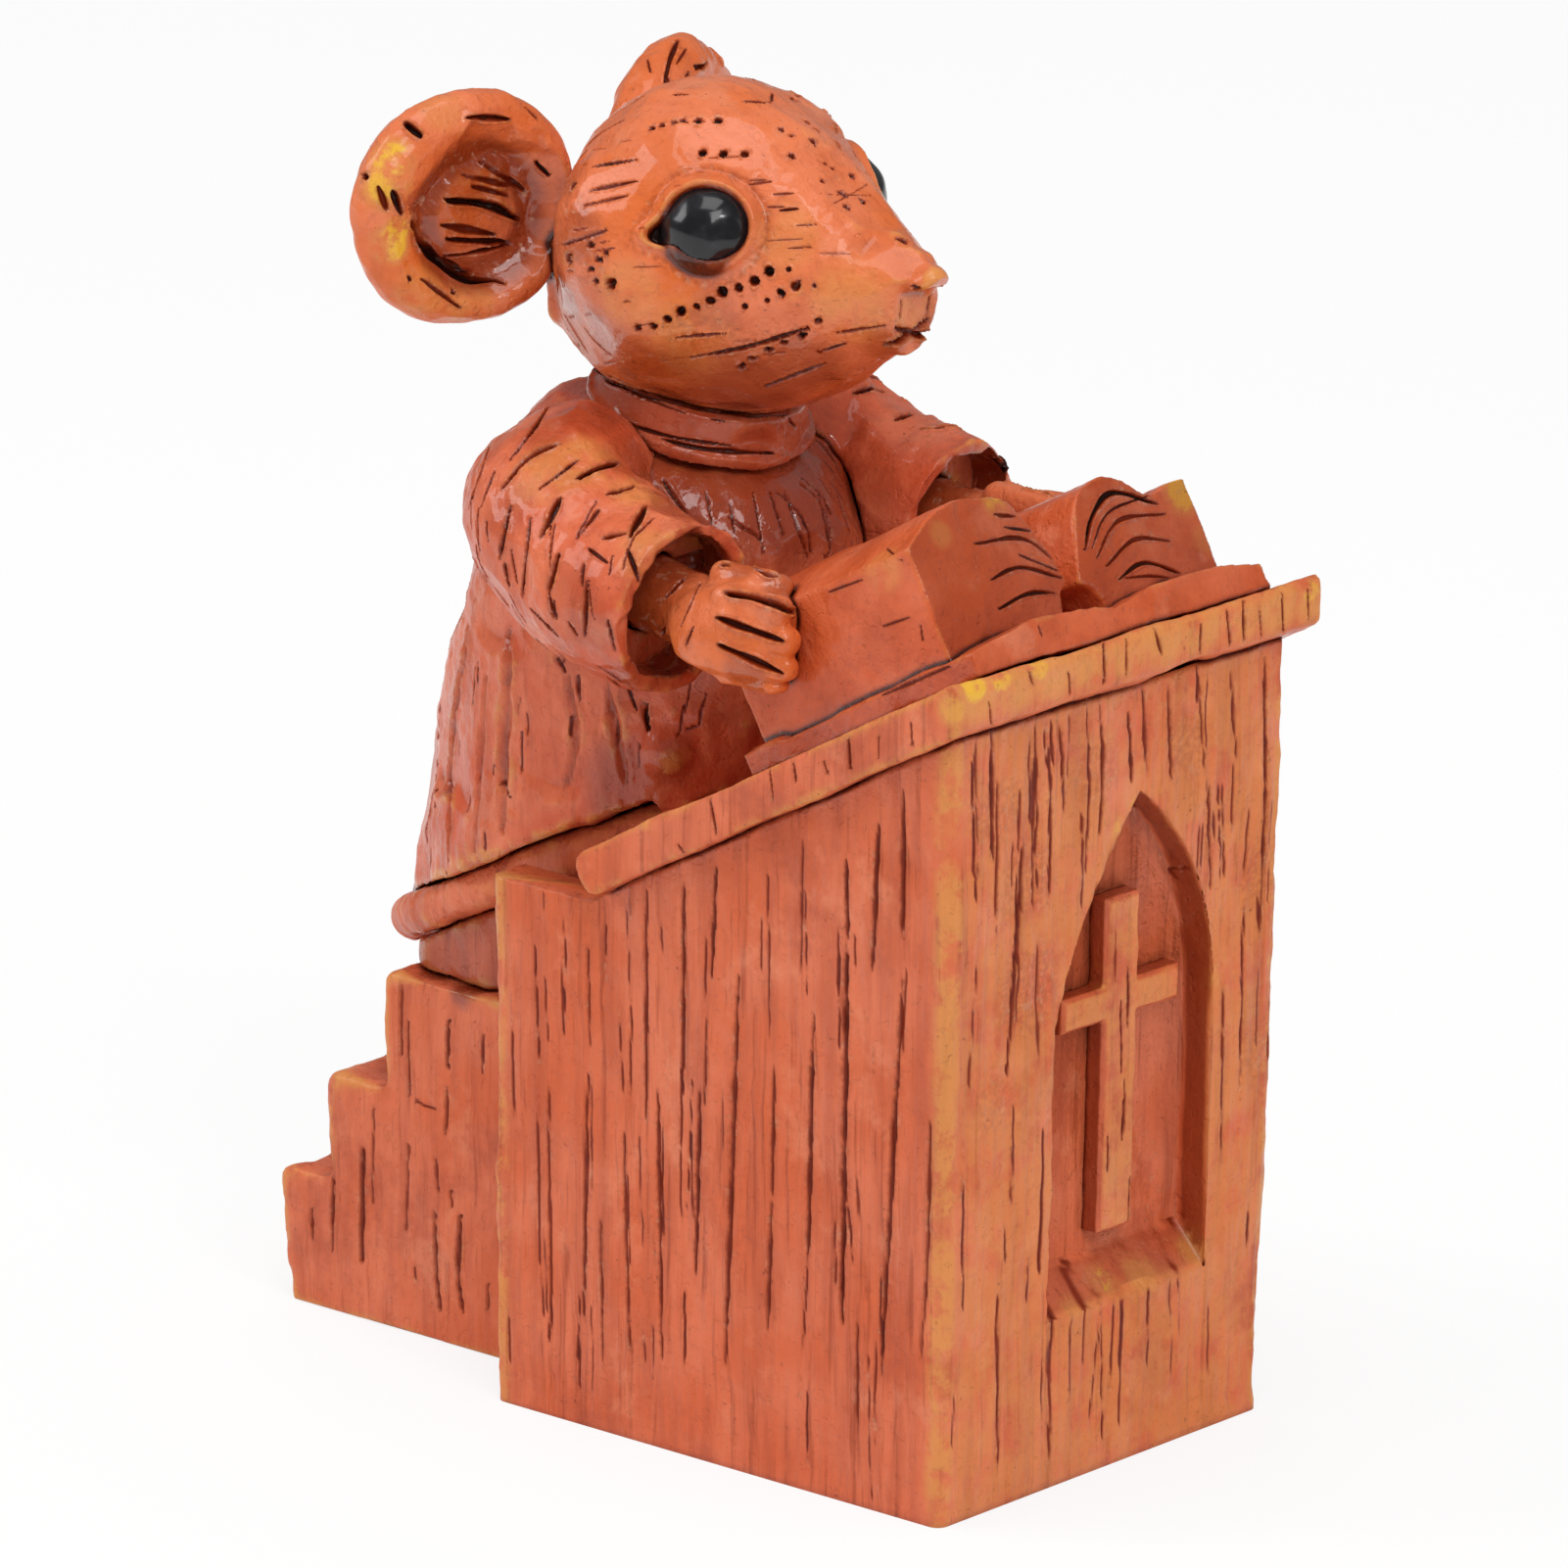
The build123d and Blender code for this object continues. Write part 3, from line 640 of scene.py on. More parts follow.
nearSideStrokes = [
    (522, 1010, 525, 1145, 3), (546, 965, 551, 1090, 4), (549, 1095, 551, 1290, 3), (556, 995, 560, 1070, 3),
    (560, 1100, 563, 1350, 5), (578, 950, 575, 1075, 3), (600, 960, 603, 1070, 5), (601, 1100, 596, 1345, 6),
    (619, 945, 619, 1005, 3), (592, 1345, 592, 1420, 4), (613, 1240, 616, 1400, 7), (645, 1035, 643, 1130, 4),
    (637, 1155, 643, 1380, 6), (660, 910, 660, 1145, 6), (672, 1110, 676, 1385, 7), (698, 900, 697, 1120, 7),
    (699, 1320, 700, 1400, 4), (731, 885, 727, 1000, 7), (722, 1040, 719, 1130, 5), (715, 1110, 711, 1300, 7),
    (754, 1000, 741, 1390, 9), (784, 890, 786, 1060, 4), (791, 1090, 788, 1220, 6), (788, 1225, 784, 1360, 8),
    (819, 850, 818, 1000, 5), (831, 1040, 825, 1290, 9), (825, 1290, 820, 1380, 4), (864, 880, 866, 955, 8),
    (865, 970, 860, 1350, 11), (897, 840, 891, 990, 8), (923, 805, 921, 960, 8),
    (922, 1000, 904, 1330, 900, 1400, 9), (876, 1350, 875, 1450, 5), (950, 1150, 946, 1310, 940, 1390, 6),
    (818, 1400, 817, 1425, 3), (657, 1350, 659, 1390, 3), (519, 1330, 521, 1390, 3),
]
frontStrokes = [
    (997, 760, 998, 900, 4), (1012, 750, 1014, 880, 7), (1019, 800, 1017, 970, 4), (1041, 800, 1040, 870, 5),
    (1045, 860, 1036, 990, 1028, 1100, 6), (1057, 745, 1054, 920, 6), (1073, 735, 1075, 790, 4),
    (1083, 740, 1087, 830, 5), (1074, 790, 1070, 930, 4), (1092, 730, 1090, 790, 3),
    (1122, 715, 1126, 780, 1123, 850, 6), (1112, 815, 1108, 890, 4), (1152, 725, 1156, 800, 5),
    (1166, 700, 1171, 790, 6), (1192, 700, 1196, 790, 7), (1224, 690, 1230, 790, 4),
    (1234, 800, 1236, 910, 6), (1257, 690, 1262, 770, 6), (1260, 780, 1258, 850, 4),
    (1290, 650, 1292, 800, 1286, 960, 6), (1248, 800, 1250, 900, 3), (1270, 900, 1266, 1130, 4),
    (1250, 1000, 1247, 1190, 3), (1296, 1020, 1294, 1180, 3),
    (1160, 818, 1132, 868, 1108, 930, 1086, 1000, 1078, 1050, 5),
]
# seeded grain: how many, in which box, facing where, how long and wide
caseGrain = [
    {"count": 14, "low": (-5, -16, 15), "high": (9, -16, 34), "facing": (0, -1, 0), "length": (3, 9),
     "width": (0.25, 0.45)},
    {"count": 70, "low": (-15, -18, 4), "high": (15, -18, 50), "facing": (0, -1, 0), "length": (2, 12),
     "width": (0.14, 0.24), "depth": 0.4},
    {"count": 40, "low": (-15, -16, 4), "high": (-15, 16, 36), "facing": (-1, 0, 0), "length": (2, 9),
     "width": (0.12, 0.2), "depth": 0.4},
    {"count": 18, "low": (-15, 18, 6), "high": (15, 18, 30), "facing": (0, 1, 0), "length": (5, 16),
     "width": (0.25, 0.5)},
]
sillGold = [
    (1125, 1305, 1.4, 1.0), (1165, 1300, 2.0, 0.7), (1215, 1275, 1.8, 0.75), (1095, 1335, 1.2, 0.6),
    (1140, 845, 0.8, 0.8), (1155, 822, 0.8, 0.8), (1118, 880, 0.7, 0.6), (1242, 995, 0.8, 0.8),
]
frontSmudges = [
    (1020, 830, 3.0, 0.35), (1048, 900, 3.5, 0.4), (1052, 1010, 4.0, 0.45), (1120, 790, 3.0, 0.35),
    (1215, 760, 3.0, 0.35), (1285, 890, 3.0, 0.35), (1015, 1130, 3.0, 0.3), (1285, 1080, 2.5, 0.3),
]


def caseProfile():
    half = caseForm["depth"] / 2
    rise = math.tan(math.radians(caseForm["slope"]))
    foot = half - caseForm["ledge"]
    frontTop = -half - caseForm["lean"]
    frontHeight = caseForm["rearHeight"] + (foot - frontTop) * rise
    return half, foot, frontTop, frontHeight


def caseWidth(height, top):
    return caseForm["footWidth"] + (caseForm["width"] - caseForm["footWidth"]) * height / top


def gridCase():
    half, foot, frontTop, frontHeight = caseProfile()
    bm = bmesh.new()
    bmesh.ops.create_cube(bm, size=1)
    cut = foot / caseForm["depth"]
    geom = bm.verts[:] + bm.edges[:] + bm.faces[:]
    bmesh.ops.bisect_plane(bm, geom=geom, plane_co=(0, cut, 0), plane_no=(0, 1, 0))
    for v in bm.verts:
        high, front = v.co.z > 0, v.co.y < -0.4
        height = (frontHeight if front else caseForm["rearHeight"]) if high else 0
        wide = caseWidth(height, frontHeight)
        y = v.co.y * caseForm["depth"]
        v.co = Vector((math.copysign(wide / 2, v.co.x), frontTop if high and front else y, height)) * mm
    caps = [f for f in bm.faces if abs(f.normal.z) > 0.5]
    bmesh.ops.delete(bm, geom=caps, context="FACES_ONLY")

    def split(way, longest, size):
        edges = [e for e in bm.edges if abs((e.verts[1].co - e.verts[0].co).normalized()[way]) > 0.8
                 and e.calc_length() > longest * mm]
        if edges:
            cuts = int(max(e.calc_length() for e in edges) / (size * mm))
            bmesh.ops.subdivide_edges(bm, edges=edges, cuts=cuts, use_grid_fill=True)

    split(0, 10, caseForm["columns"])
    split(2, 10, caseForm["rows"])
    split(1, 15, caseForm["columns"])
    split(1, 3, caseForm["columns"])
    bmesh.ops.holes_fill(bm, edges=bm.edges, sides=0)
    bmesh.ops.recalc_face_normals(bm, faces=bm.faces)
    for v in bm.verts:  # round the upright corners
        wide = caseWidth(v.co.z, frontHeight * mm) / 2
        ahead = half + caseForm["lean"] * v.co.z / (frontHeight * mm)
        end = ahead if v.co.y < 0 else half
        dx = abs(v.co.x) / mm - (wide - caseForm["corner"])
        dy = abs(v.co.y) / mm - (end - caseForm["corner"])
        if dx > 0 and dy > 0:
            size = max(dx, dy) / math.hypot(dx, dy)
            v.co.x = math.copysign((wide - caseForm["corner"] + dx * size) * mm, v.co.x)
            v.co.y = math.copysign((end - caseForm["corner"] + dy * size) * mm, v.co.y)
    return objectFrom(bm, "pulpitCase")


def nicheCutter():
    # the pointed arch drawn upright, pushed through the leaning front
    form = caseForm
    half, _, _, frontHeight = caseProfile()
    left = form["nicheMiddle"] - form["nicheWidth"] / 2
    right = form["nicheMiddle"] + form["nicheWidth"] / 2
    top = (form["nicheMiddle"], form["apex"])

    def arc(start, end, bulge, steps=26):
        a, b = np.array(start), np.array(end)
        side = np.array([b[1] - a[1], a[0] - b[0]]) / np.linalg.norm(b - a)
        t = np.linspace(0, 1, steps)[1:-1, None]
        return list(a + (b - a) * t + side * bulge * 4 * t * (1 - t))

    low, ahead = form["sill"], 2
    sillTop = (low + 0.01) * mm
    outline = [(left, low), (right, low), (right, form["spring"])]
    outline += [tuple(p) for p in arc((right, form["spring"]), top, form["bulges"][1])]
    outline += [top]
    outline += [tuple(p) for p in arc(top, (left, form["spring"]), form["bulges"][0])]
    outline += [(left, form["spring"])]
    bm = bmesh.new()

    def frontAt(z):
        return -half - form["lean"] * z / frontHeight

    ring = [bm.verts.new(Vector((x, frontAt(z) - ahead, z)) * mm) for x, z in outline]
    face = bm.faces.new(ring)
    made = bmesh.ops.extrude_face_region(bm, geom=[face])
    for v in made["geom"]:
        if isinstance(v, bmesh.types.BMVert):
            v.co.y += (ahead + form["nicheDepth"]) * mm
            if v.co.z < sillTop:
                v.co.z += form["sillRise"] * mm
    bmesh.ops.recalc_face_normals(bm, faces=bm.faces)
    for v in bm.verts:
        if v.co.y < frontAt(v.co.z / mm) * mm - mm and v.co.z < sillTop:
            v.co.z -= form["sillRise"] * ahead / form["nicheDepth"] * mm
    return objectFrom(bm, "nicheCutter")


def wellCutter():
    wide, deep, floor = caseForm["well"]
    past, tall = 3, 20
    bm = bmesh.new()
    bmesh.ops.create_cube(bm, size=1)
    bmesh.ops.scale(bm, vec=(wide * mm, (deep + past) * mm, tall * mm), verts=bm.verts)
    rear = caseForm["depth"] / 2
    place = (0, (rear - deep / 2 + past / 2) * mm, (floor + tall / 2) * mm)
    bmesh.ops.translate(bm, vec=place, verts=bm.verts)
    return objectFrom(bm, "wellCutter")


def cutAway(obj, cutter):
    knife = obj.modifiers.new("knife", "BOOLEAN")
    knife.operation, knife.solver, knife.object = "DIFFERENCE", "EXACT", cutter
    bakeModifiers(obj)
    bpy.data.objects.remove(cutter)


def rowNiche(obj):
    # rows of edges over the niche's walls and sill, so paint and wear can follow them
    form = caseForm
    half, _, _, frontHeight = caseProfile()
    side, middle = form["nicheWidth"] / 2 + 0.4, form["nicheMiddle"]
    across, upward = form["rowSteps"]
    (front, rear), (low, high) = form["rowZone"]
    lean = Vector((0, 1, form["lean"] / frontHeight)).normalized()
    rows = [((0, gap - half, 0), lean) for gap in form["rowGaps"]]
    rows += [((x, 0, 0), (1, 0, 0)) for x in np.arange(middle - side + 0.7, middle + side, across)]
    rows += [((0, 0, z), (0, 0, 1)) for z in np.arange(form["sill"] + 0.5, form["apex"], upward)]
    bm = bmesh.new()
    bm.from_mesh(obj.data)
    for place, way in rows:
        faces = []
        for f in bm.faces:
            spot = f.calc_center_median() / mm
            inside = abs(spot.x - middle) < side and front < spot.y < rear and low < spot.z < high
            if inside and abs(f.normal.y) < 0.9:
                faces.append(f)
        edges = dict.fromkeys(e for f in faces for e in f.edges)  # each one once, in a steady order
        verts = dict.fromkeys(v for f in faces for v in f.verts)
        geom = [*faces, *edges, *verts]
        bmesh.ops.bisect_plane(bm, geom=geom, plane_co=Vector(place) * mm, plane_no=way)
    bm.to_mesh(obj.data)
    bm.free()


def makeCase():
    obj = gridCase()
    cutAway(obj, nicheCutter())
    rowNiche(obj)
    cutAway(obj, wellCutter())
    handCast(obj, caseForm)
    co, out = points(obj), normals(obj)
    grain = wobble(co * (1, 1, 0.05), wave=0.6, seed=5) + wobble(co * (1, 1, 0.08), wave=1.4, seed=6)
    upright = smoothStep(0.5, 0.2, np.abs(out[:, 2])) * smoothStep(0.3, 1.5, co[:, 2] / mm)
    depth = np.where(out[:, 1] < -0.5, *caseForm["grainDepth"])
    setPoints(obj, co + out * (depth * mm * grain * upright)[:, None])
    near = layStrokes(obj, nearSideStrokes, paint=0.9, bold=0.72)
    strokes = near + layStrokes(obj, frontStrokes, paint=0.9) + mirrorStrokes(obj, near, jitter=0.7)
    cutStrokes(obj, strokes + rayStrokes(obj, caseGrain), levels=0)
    co = points(obj)
    half, _, _, frontHeight = caseProfile()
    rise = co[:, 2] / (frontHeight * mm)
    sideGap = caseWidth(rise, 1) / 2 - np.abs(co[:, 0]) / mm
    frontGap = co[:, 1] / mm + half + caseForm["lean"] * rise
    endGap = np.minimum(frontGap, half - co[:, 1] / mm)
    corner = np.maximum(sideGap, endGap)
    setMark(obj, "worn", smoothStep(*caseForm["wornEdge"], corner))
    # the niche's walls, sill and back are darkened as dark wash and painted shade
    inNiche = (frontGap > 0.4) & (sideGap > 3) & (co[:, 1] < -10 * mm)
    wall = inNiche & (frontGap < caseForm["nicheDepth"] - 0.25)
    onSill = wall & (normals(obj)[:, 2] > 0.3)
    shaded = np.where(wall, 1.0, np.where(inNiche, caseForm["nicheShade"], 0.0))
    setMark(obj, "hollow", np.where(onSill, caseForm["sillShade"], shaded))
    onFront = smoothStep(0.8, 0.2, frontGap) * smoothStep(0.2, 2.0, sideGap)
    onEdge = smoothStep(*caseForm["goldEdge"], corner) * (co[:, 1] < 0)
    setMark(obj, "gold", np.maximum(0.4 * onFront, 0.42 * onEdge))
    tintAt(obj, "gold", sillGold)
    tintAt(obj, "stain", frontSmudges)
    finishPiece(obj, "pulpit_case", pulpitPaint)


makeCase()


# pieces that keep the solid's own form under a worn hand-cast skin
def skinOver(node, form):
    obj = nodeCopy(node, node + "_shown")
    voxelSkin(obj, form["voxel"], form.get("smooth", 2))
    handCast(obj, form)
    return obj


crossForm = {"voxel": 0.12, "sway": 0.035, "wave": 3, "seed": 11, "smooth": 1}
crossGrain = [{"count": 7, "low": (0.8, -17, 16), "high": (3.2, -17, 34), "facing": (0, -1, 0),
               "length": (2, 6), "width": (0.15, 0.25)}]
crossGold = [(1122, 997, 1.2, 0.95), (1160, 930, 1.0, 0.6), (1150, 1100, 1.2, 0.5), (1195, 1000, 1.2, 0.6)]


def makeCross():
    obj = skinOver("front_cross", crossForm)
    cutStrokes(obj, rayStrokes(obj, crossGrain), levels=1)
    ahead = -normals(obj)[:, 1]
    setMark(obj, "gold", 0.5 * smoothStep(0.7, 0.95, ahead))
    # side faces turned away from the front are darkened as painted shade
    setMark(obj, "hollow", 0.95 * smoothStep(0.6, 0.2, ahead))
    tintAt(obj, "gold", crossGold)
    markForms(obj, wide=8, proudest=0.12)
    finishPiece(obj, "front_cross", pulpitPaint)


boardForm = {"voxel": 0.26, "sway": 0.07, "wave": 8, "seed": 12, "cuts": (40, 0.06, 4)}
boardStrokes = [
    (1010, 715, 1012, 740, 4), (1050, 685, 1055, 700, 5), (1091, 685, 1093, 718, 4),
    (1126, 655, 1128, 697, 5), (1150, 650, 1150, 692, 4), (1178, 640, 1186, 668, 6),
    (1226, 635, 1225, 668, 4), (1252, 620, 1256, 660, 5), (1269, 612, 1270, 655, 6),
    (1286, 623, 1288, 650, 4), (1309, 605, 1310, 648, 4), (1335, 600, 1336, 632, 3),
    (808, 760, 813, 800, 4), (866, 745, 868, 785, 6), (897, 750, 897, 775, 3), (785, 780, 790, 820, 4),
    (840, 775, 845, 790, 4), (725, 815, 732, 855, 4), (690, 860, 700, 872, 4), (930, 735, 931, 760, 3),
]
boardGold = [(995, 700, 1.8, 0.95), (1022, 692, 1.6, 0.9), (1060, 680, 1.6, 0.85), (972, 725, 1.6, 0.8),
             (1338, 600, 1.5, 0.85)] + [(1000 + 38 * i, 705 - 11.5 * i, 3.0, 0.72) for i in range(10)]


def makeBoard():
    obj = skinOver("desk_board", boardForm)
    cutStrokes(obj, layStrokes(obj, boardStrokes, paint=0.75), levels=2)
    tintAt(obj, "gold", boardGold)
    markForms(obj, wide=12)
    finishPiece(obj, "desk_board", pulpitPaint)


stairForm = {"voxel": 0.29, "sway": 0.12, "wave": 7, "seed": 13, "smooth": 4, "cuts": (30, 0.07, 4)}
stairStrokes = [
    (318, 1230, 320, 1270, 5), (340, 1200, 340, 1280, 6), (371, 1170, 370, 1290, 8),
    (382, 1130, 380, 1230, 4), (417, 1170, 415, 1260, 4), (424, 1290, 425, 1310, 4),
    (417, 1040, 418, 1120, 4), (410, 1000, 410, 1080, 5), (444, 1240, 446, 1300, 450, 1340, 8),
    (470, 1240, 469, 1310, 473, 1340, 9), (457, 1110, 455, 1160, 6), (458, 1040, 457, 1090, 6),
    (493, 1050, 493, 1100, 4), (445, 1180, 447, 1215, 5), (498, 1310, 499, 1340, 5),
    (424, 1125, 445, 1133, 3), (460, 1215, 462, 1235, 4),
]
stairGrain = [{"count": 12, "low": (-8, 40, 2), "high": (8, 40, 20), "facing": (0, 1, 0), "length": (2, 6),
               "width": (0.25, 0.45)}]
stairWetShade = [(418, 983, 1.2, 1.0), (445, 996, 1.4, 1.0), (478, 1012, 1.6, 1.0)]


def makeStairs():
    obj = skinOver("stair_block", stairForm)
    near = layStrokes(obj, stairStrokes, paint=0.75)
    rear = rayStrokes(obj, stairGrain)
    cutStrokes(obj, near + mirrorStrokes(obj, near) + rear, levels=1)
    # the top tread under the standing board is darkened and glossy, as painted shade
    tintAt(obj, "hollow", stairWetShade, bothSides=True)
    markForms(obj, wide=16)
    finishPiece(obj, "stair_block", pulpitPaint)


standingForm = {"voxel": 0.25, "sway": 0.14, "wave": 7, "seed": 14, "cuts": (40, 0.09, 3)}
standingStrokes = [(405, 968, 450, 948, 496, 930, 8), (450, 952, 496, 938, 5), (440, 900, 500, 884, 4)]
wedgeForm = {"voxel": 0.3, "sway": 0.14, "wave": 5, "seed": 15, "cuts": (30, 0.1, 3)}


def makeStanding():
    obj = skinOver("standing_board", standingForm)
    cutStrokes(obj, layStrokes(obj, standingStrokes), levels=1)
    markForms(obj, wide=16)
    finishPiece(obj, "standing_board", pulpitPaint)
    obj = skinOver("standing_wedge", wedgeForm)
    # the wedge under the standing board is darkened all over as painted shade
    setMark(obj, "hollow", np.full(len(obj.data.vertices), 0.6))
    markForms(obj, wide=16)
    finishPiece(obj, "standing_wedge", pulpitPaint)


makeCross()
makeBoard()
makeStairs()
makeStanding()
print("pulpit made")

# open book: a wavy cover and two page blocks drawn on the desk's slope
deskForm = {"front": (0, -21.05, 54.95), "slope": 28.4, "middle": -0.5}
coverForm = {"voxel": 0.19, "sway": 0.10, "wave": 5, "seed": 21, "cuts": (30, 0.05, 3)}
coverStrokes = [
    (850, 690, 945, 660, 7), (900, 710, 970, 680, 5), (1060, 637, 1064, 650, 3), (990, 662, 991, 680, 4),
    (830, 700, 850, 692, 6), (790, 745, 840, 728, 6),
]
pageForm = {
    "width": 12.5, "gutter": 0.5, "start": 3.5, "length": 17.2, "base": 1.2, "voxel": 0.165,
    "heights": {"right": 9.2, "left": 8.2}, "crown": 1.7,
    "sway": 0.06, "wave": 5, "seed": 22, "cuts": (30, 0.04, 2), "cutSeed": 23,
    "right": [(0.02, 0.40), (0.15, 0.80), (0.42, 1.00), (0.72, 0.98), (1.00, 0.80)],
    "left": [(0.02, 0.40), (0.15, 0.82), (0.36, 1.00), (0.56, 0.92), (0.70, 0.76), (0.84, 0.80),
             (1.00, 0.82)],
    "hollow": [(0.4, 0.34), (1.4, 0.27), (1.9, 0.14), (1.7, 0.0)],
}
rightPageLines = [
    (1015, 525, 1050, 530, 1088, 565, 6), (995, 555, 1045, 550, 1087, 582, 6),
    (1012, 592, 1035, 580, 1085, 590, 6), (1020, 622, 1050, 606, 1090, 606, 6),
    (1025, 538, 1060, 545, 1086, 572, 4), (1040, 566, 1086, 585, 4), (845, 605, 880, 592, 3),
    (905, 560, 920, 572, 3), (940, 640, 942, 655, 3), (900, 640, 930, 630, 3),
]
leftPageLines = [
    (1108, 562, 1114, 530, 1130, 505, 1182, 514, 8), (1120, 570, 1140, 533, 1190, 524, 6),
    (1130, 578, 1160, 550, 1195, 552, 6), (1142, 592, 1165, 575, 1205, 585, 6),
    (1115, 560, 1130, 525, 1175, 505, 4), (1148, 590, 1175, 588, 1195, 590, 4),
]
rightPageGold = [(1015, 513, 1.3, 0.9), (1045, 515, 1.2, 0.9), (960, 545, 1.2, 0.5), (900, 580, 2.0, 0.35)]
leftPageGold = [(1205, 505, 2.0, 0.9), (1170, 500, 1.2, 0.6), (1230, 550, 1.5, 0.4)]


def deskMatrix():
    lean = math.radians(deskForm["slope"])
    up = Vector((0, math.sin(lean), math.cos(lean)))
    across = Vector((1, 0, 0))
    place = Matrix((across, up.cross(across), up)).transposed().to_4x4()
    place.translation = Vector(deskForm["front"]) * mm
    return place


def pageBlock(side):
    form = pageForm
    sign, tall = sideSign[side], form["heights"][side]
    shares = np.array(form[side])
    along = np.linspace(shares[0, 0], 1, 30)
    top = easyCurve(along, shares[:, 0], shares[:, 1])
    outline = [(form["gutter"] + u * form["width"], form["crown"] + v * tall) for u, v in zip(along, top)]
    outline += [(form["gutter"] + form["width"], form["base"])]
    outline += [(x, form["base"] + v * tall) for x, v in reversed(form["hollow"])]
    bm = bmesh.new()
    ring = [bm.verts.new(Vector((sign * x + deskForm["middle"], form["start"], z)) * mm) for x, z in outline]
    made = bmesh.ops.extrude_face_region(bm, geom=[bm.faces.new(ring)])
    far = [v for v in made["geom"] if isinstance(v, bmesh.types.BMVert)]
    bmesh.ops.translate(bm, vec=(0, form["length"] * mm, 0), verts=far)
    bmesh.ops.transform(bm, matrix=deskMatrix(), verts=bm.verts)
    bmesh.ops.recalc_face_normals(bm, faces=bm.faces)
    obj = objectFrom(bm, side + "_pages_shown")
    voxelSkin(obj, form["voxel"], smooth=3)
    handCast(obj, form)
    return obj


def makeBook():
    obj = skinOver("book_cover", coverForm)
    cutStrokes(obj, layStrokes(obj, coverStrokes), levels=1)
    setMark(obj, "hollow", np.full(len(obj.data.vertices), 0.25))
    markForms(obj, wide=12)
    finishPiece(obj, "book_cover", bookPaint)
    slope = math.radians(deskForm["slope"])
    frontward = np.array([0, -math.cos(slope), math.sin(slope)])
    pages = {"right": (rightPageLines, rightPageGold), "left": (leftPageLines, leftPageGold)}
    for side, (lines, gold) in pages.items():
        obj = pageBlock(side)
        cutStrokes(obj, layStrokes(obj, lines, depth=0.8), levels=1)
        tintAt(obj, "gold", gold)
        # page ends facing forward are darkened as painted shade
        ahead = normals(obj) @ frontward
        setMark(obj, "hollow", 0.65 * smoothStep(0.6, 0.9, ahead))
        markForms(obj, wide=14)
        finishPiece(obj, side + "_pages", bookPaint)


makeBook()
print("book made")

# robe and collar
robeForm = {"voxel": 0.28, "sway": 0.18, "wave": 8, "seed": 31, "smooth": 4, "cuts": (120, 0.10, 3.5)}
robeFolds = [
    (478, 640, 462, 760, 458, 880, 16), (496, 690, 484, 870, 12), (580, 690, 588, 760, 580, 800, 14),
    (620, 700, 640, 800, 16), (655, 715, 662, 745, 12), (520, 640, 512, 850, 20),
]
robeStrokes = [
    (800, 500, 815, 540, 825, 570, 6), (768, 500, 778, 555, 3), (745, 515, 750, 545, 3),
    (853, 500, 868, 545, 5), (835, 500, 850, 570, 4), (627, 465, 655, 490, 7),
    (677, 490, 700, 525, 8), (693, 462, 725, 472, 8), (785, 500, 800, 545, 4),
    (720, 500, 728, 540, 3), (870, 495, 885, 540, 4), (895, 500, 905, 530, 3),
    (583, 730, 584, 755, 5), (590, 690, 592, 715, 6), (660, 720, 662, 745, 7), (515, 795, 520, 815, 4),
    (630, 735, 632, 760, 4), (568, 670, 580, 690, 5), (700, 745, 715, 740, 4), (640, 700, 650, 725, 4),
]
robeGrain = [
    {"count": 26, "low": (-9, 30, 30), "high": (9, 30, 56), "facing": (0, 1, 0), "length": (2, 8),
     "width": (0.2, 0.45)},
    {"count": 30, "low": (-14, 8, 30), "high": (-14, 30, 50), "facing": (-1, 0, 0), "length": (0.8, 3),
     "width": (0.12, 0.22)},
]
robeDots = [(452 + i * -0.6, 640 + i * 14, 5) for i in range(14)]
robeKnot = [(680, 770, 2.2, 0.8), (760, 745, 1.6, 0.4)]
robeWetShade = [(740, 500, 6, 1.0), (800, 520, 5, 1.0), (700, 490, 4, 0.9), (860, 500, 5, 0.8), (640, 800, 4, 0.6),
           (680, 780, 3, 0.5), (560, 870, 4, 0.9)]
collarForm = {"voxel": 0.17, "sway": 0.07, "wave": 5, "seed": 32, "cuts": (30, 0.06, 2)}
collarStrokes = [
    (618, 388, 655, 401, 700, 415, 760, 425, 802, 424, 10), (675, 448, 700, 455, 790, 463, 7),
    (620, 425, 680, 445, 750, 456, 5), (800, 423, 812, 436, 5), (640, 400, 700, 422, 4),
    (725, 428, 740, 430, 3), (613, 432, 630, 440, 6),
]


def makeRobe():
    obj = skinOver("robe", robeForm)
    folds = layStrokes(obj, robeFolds, depth=0.28, paint=0.25)
    cutStrokes(obj, folds + mirrorStrokes(obj, folds), levels=0, lip=0.5)
    pushAt(obj, robeKnot)
    near = layStrokes(obj, robeStrokes + robeDots)
    rear = rayStrokes(obj, robeGrain)
    cutStrokes(obj, near + mirrorStrokes(obj, near) + rear, levels=1)
    # the chest under the head and other tucked places are darkened and glossy, as painted shade
    tintAt(obj, "hollow", robeWetShade, bothSides=True)
    markForms(obj, wide=20)
    finishPiece(obj, "robe", robePaint)
    obj = skinOver("collar", collarForm)
    cutStrokes(obj, layStrokes(obj, collarStrokes), levels=1)
    # the collar under the chin is darkened all over as painted shade
    setMark(obj, "hollow", np.full(len(obj.data.vertices), 0.55))
    markForms(obj, wide=12)
    finishPiece(obj, "collar", robePaint)


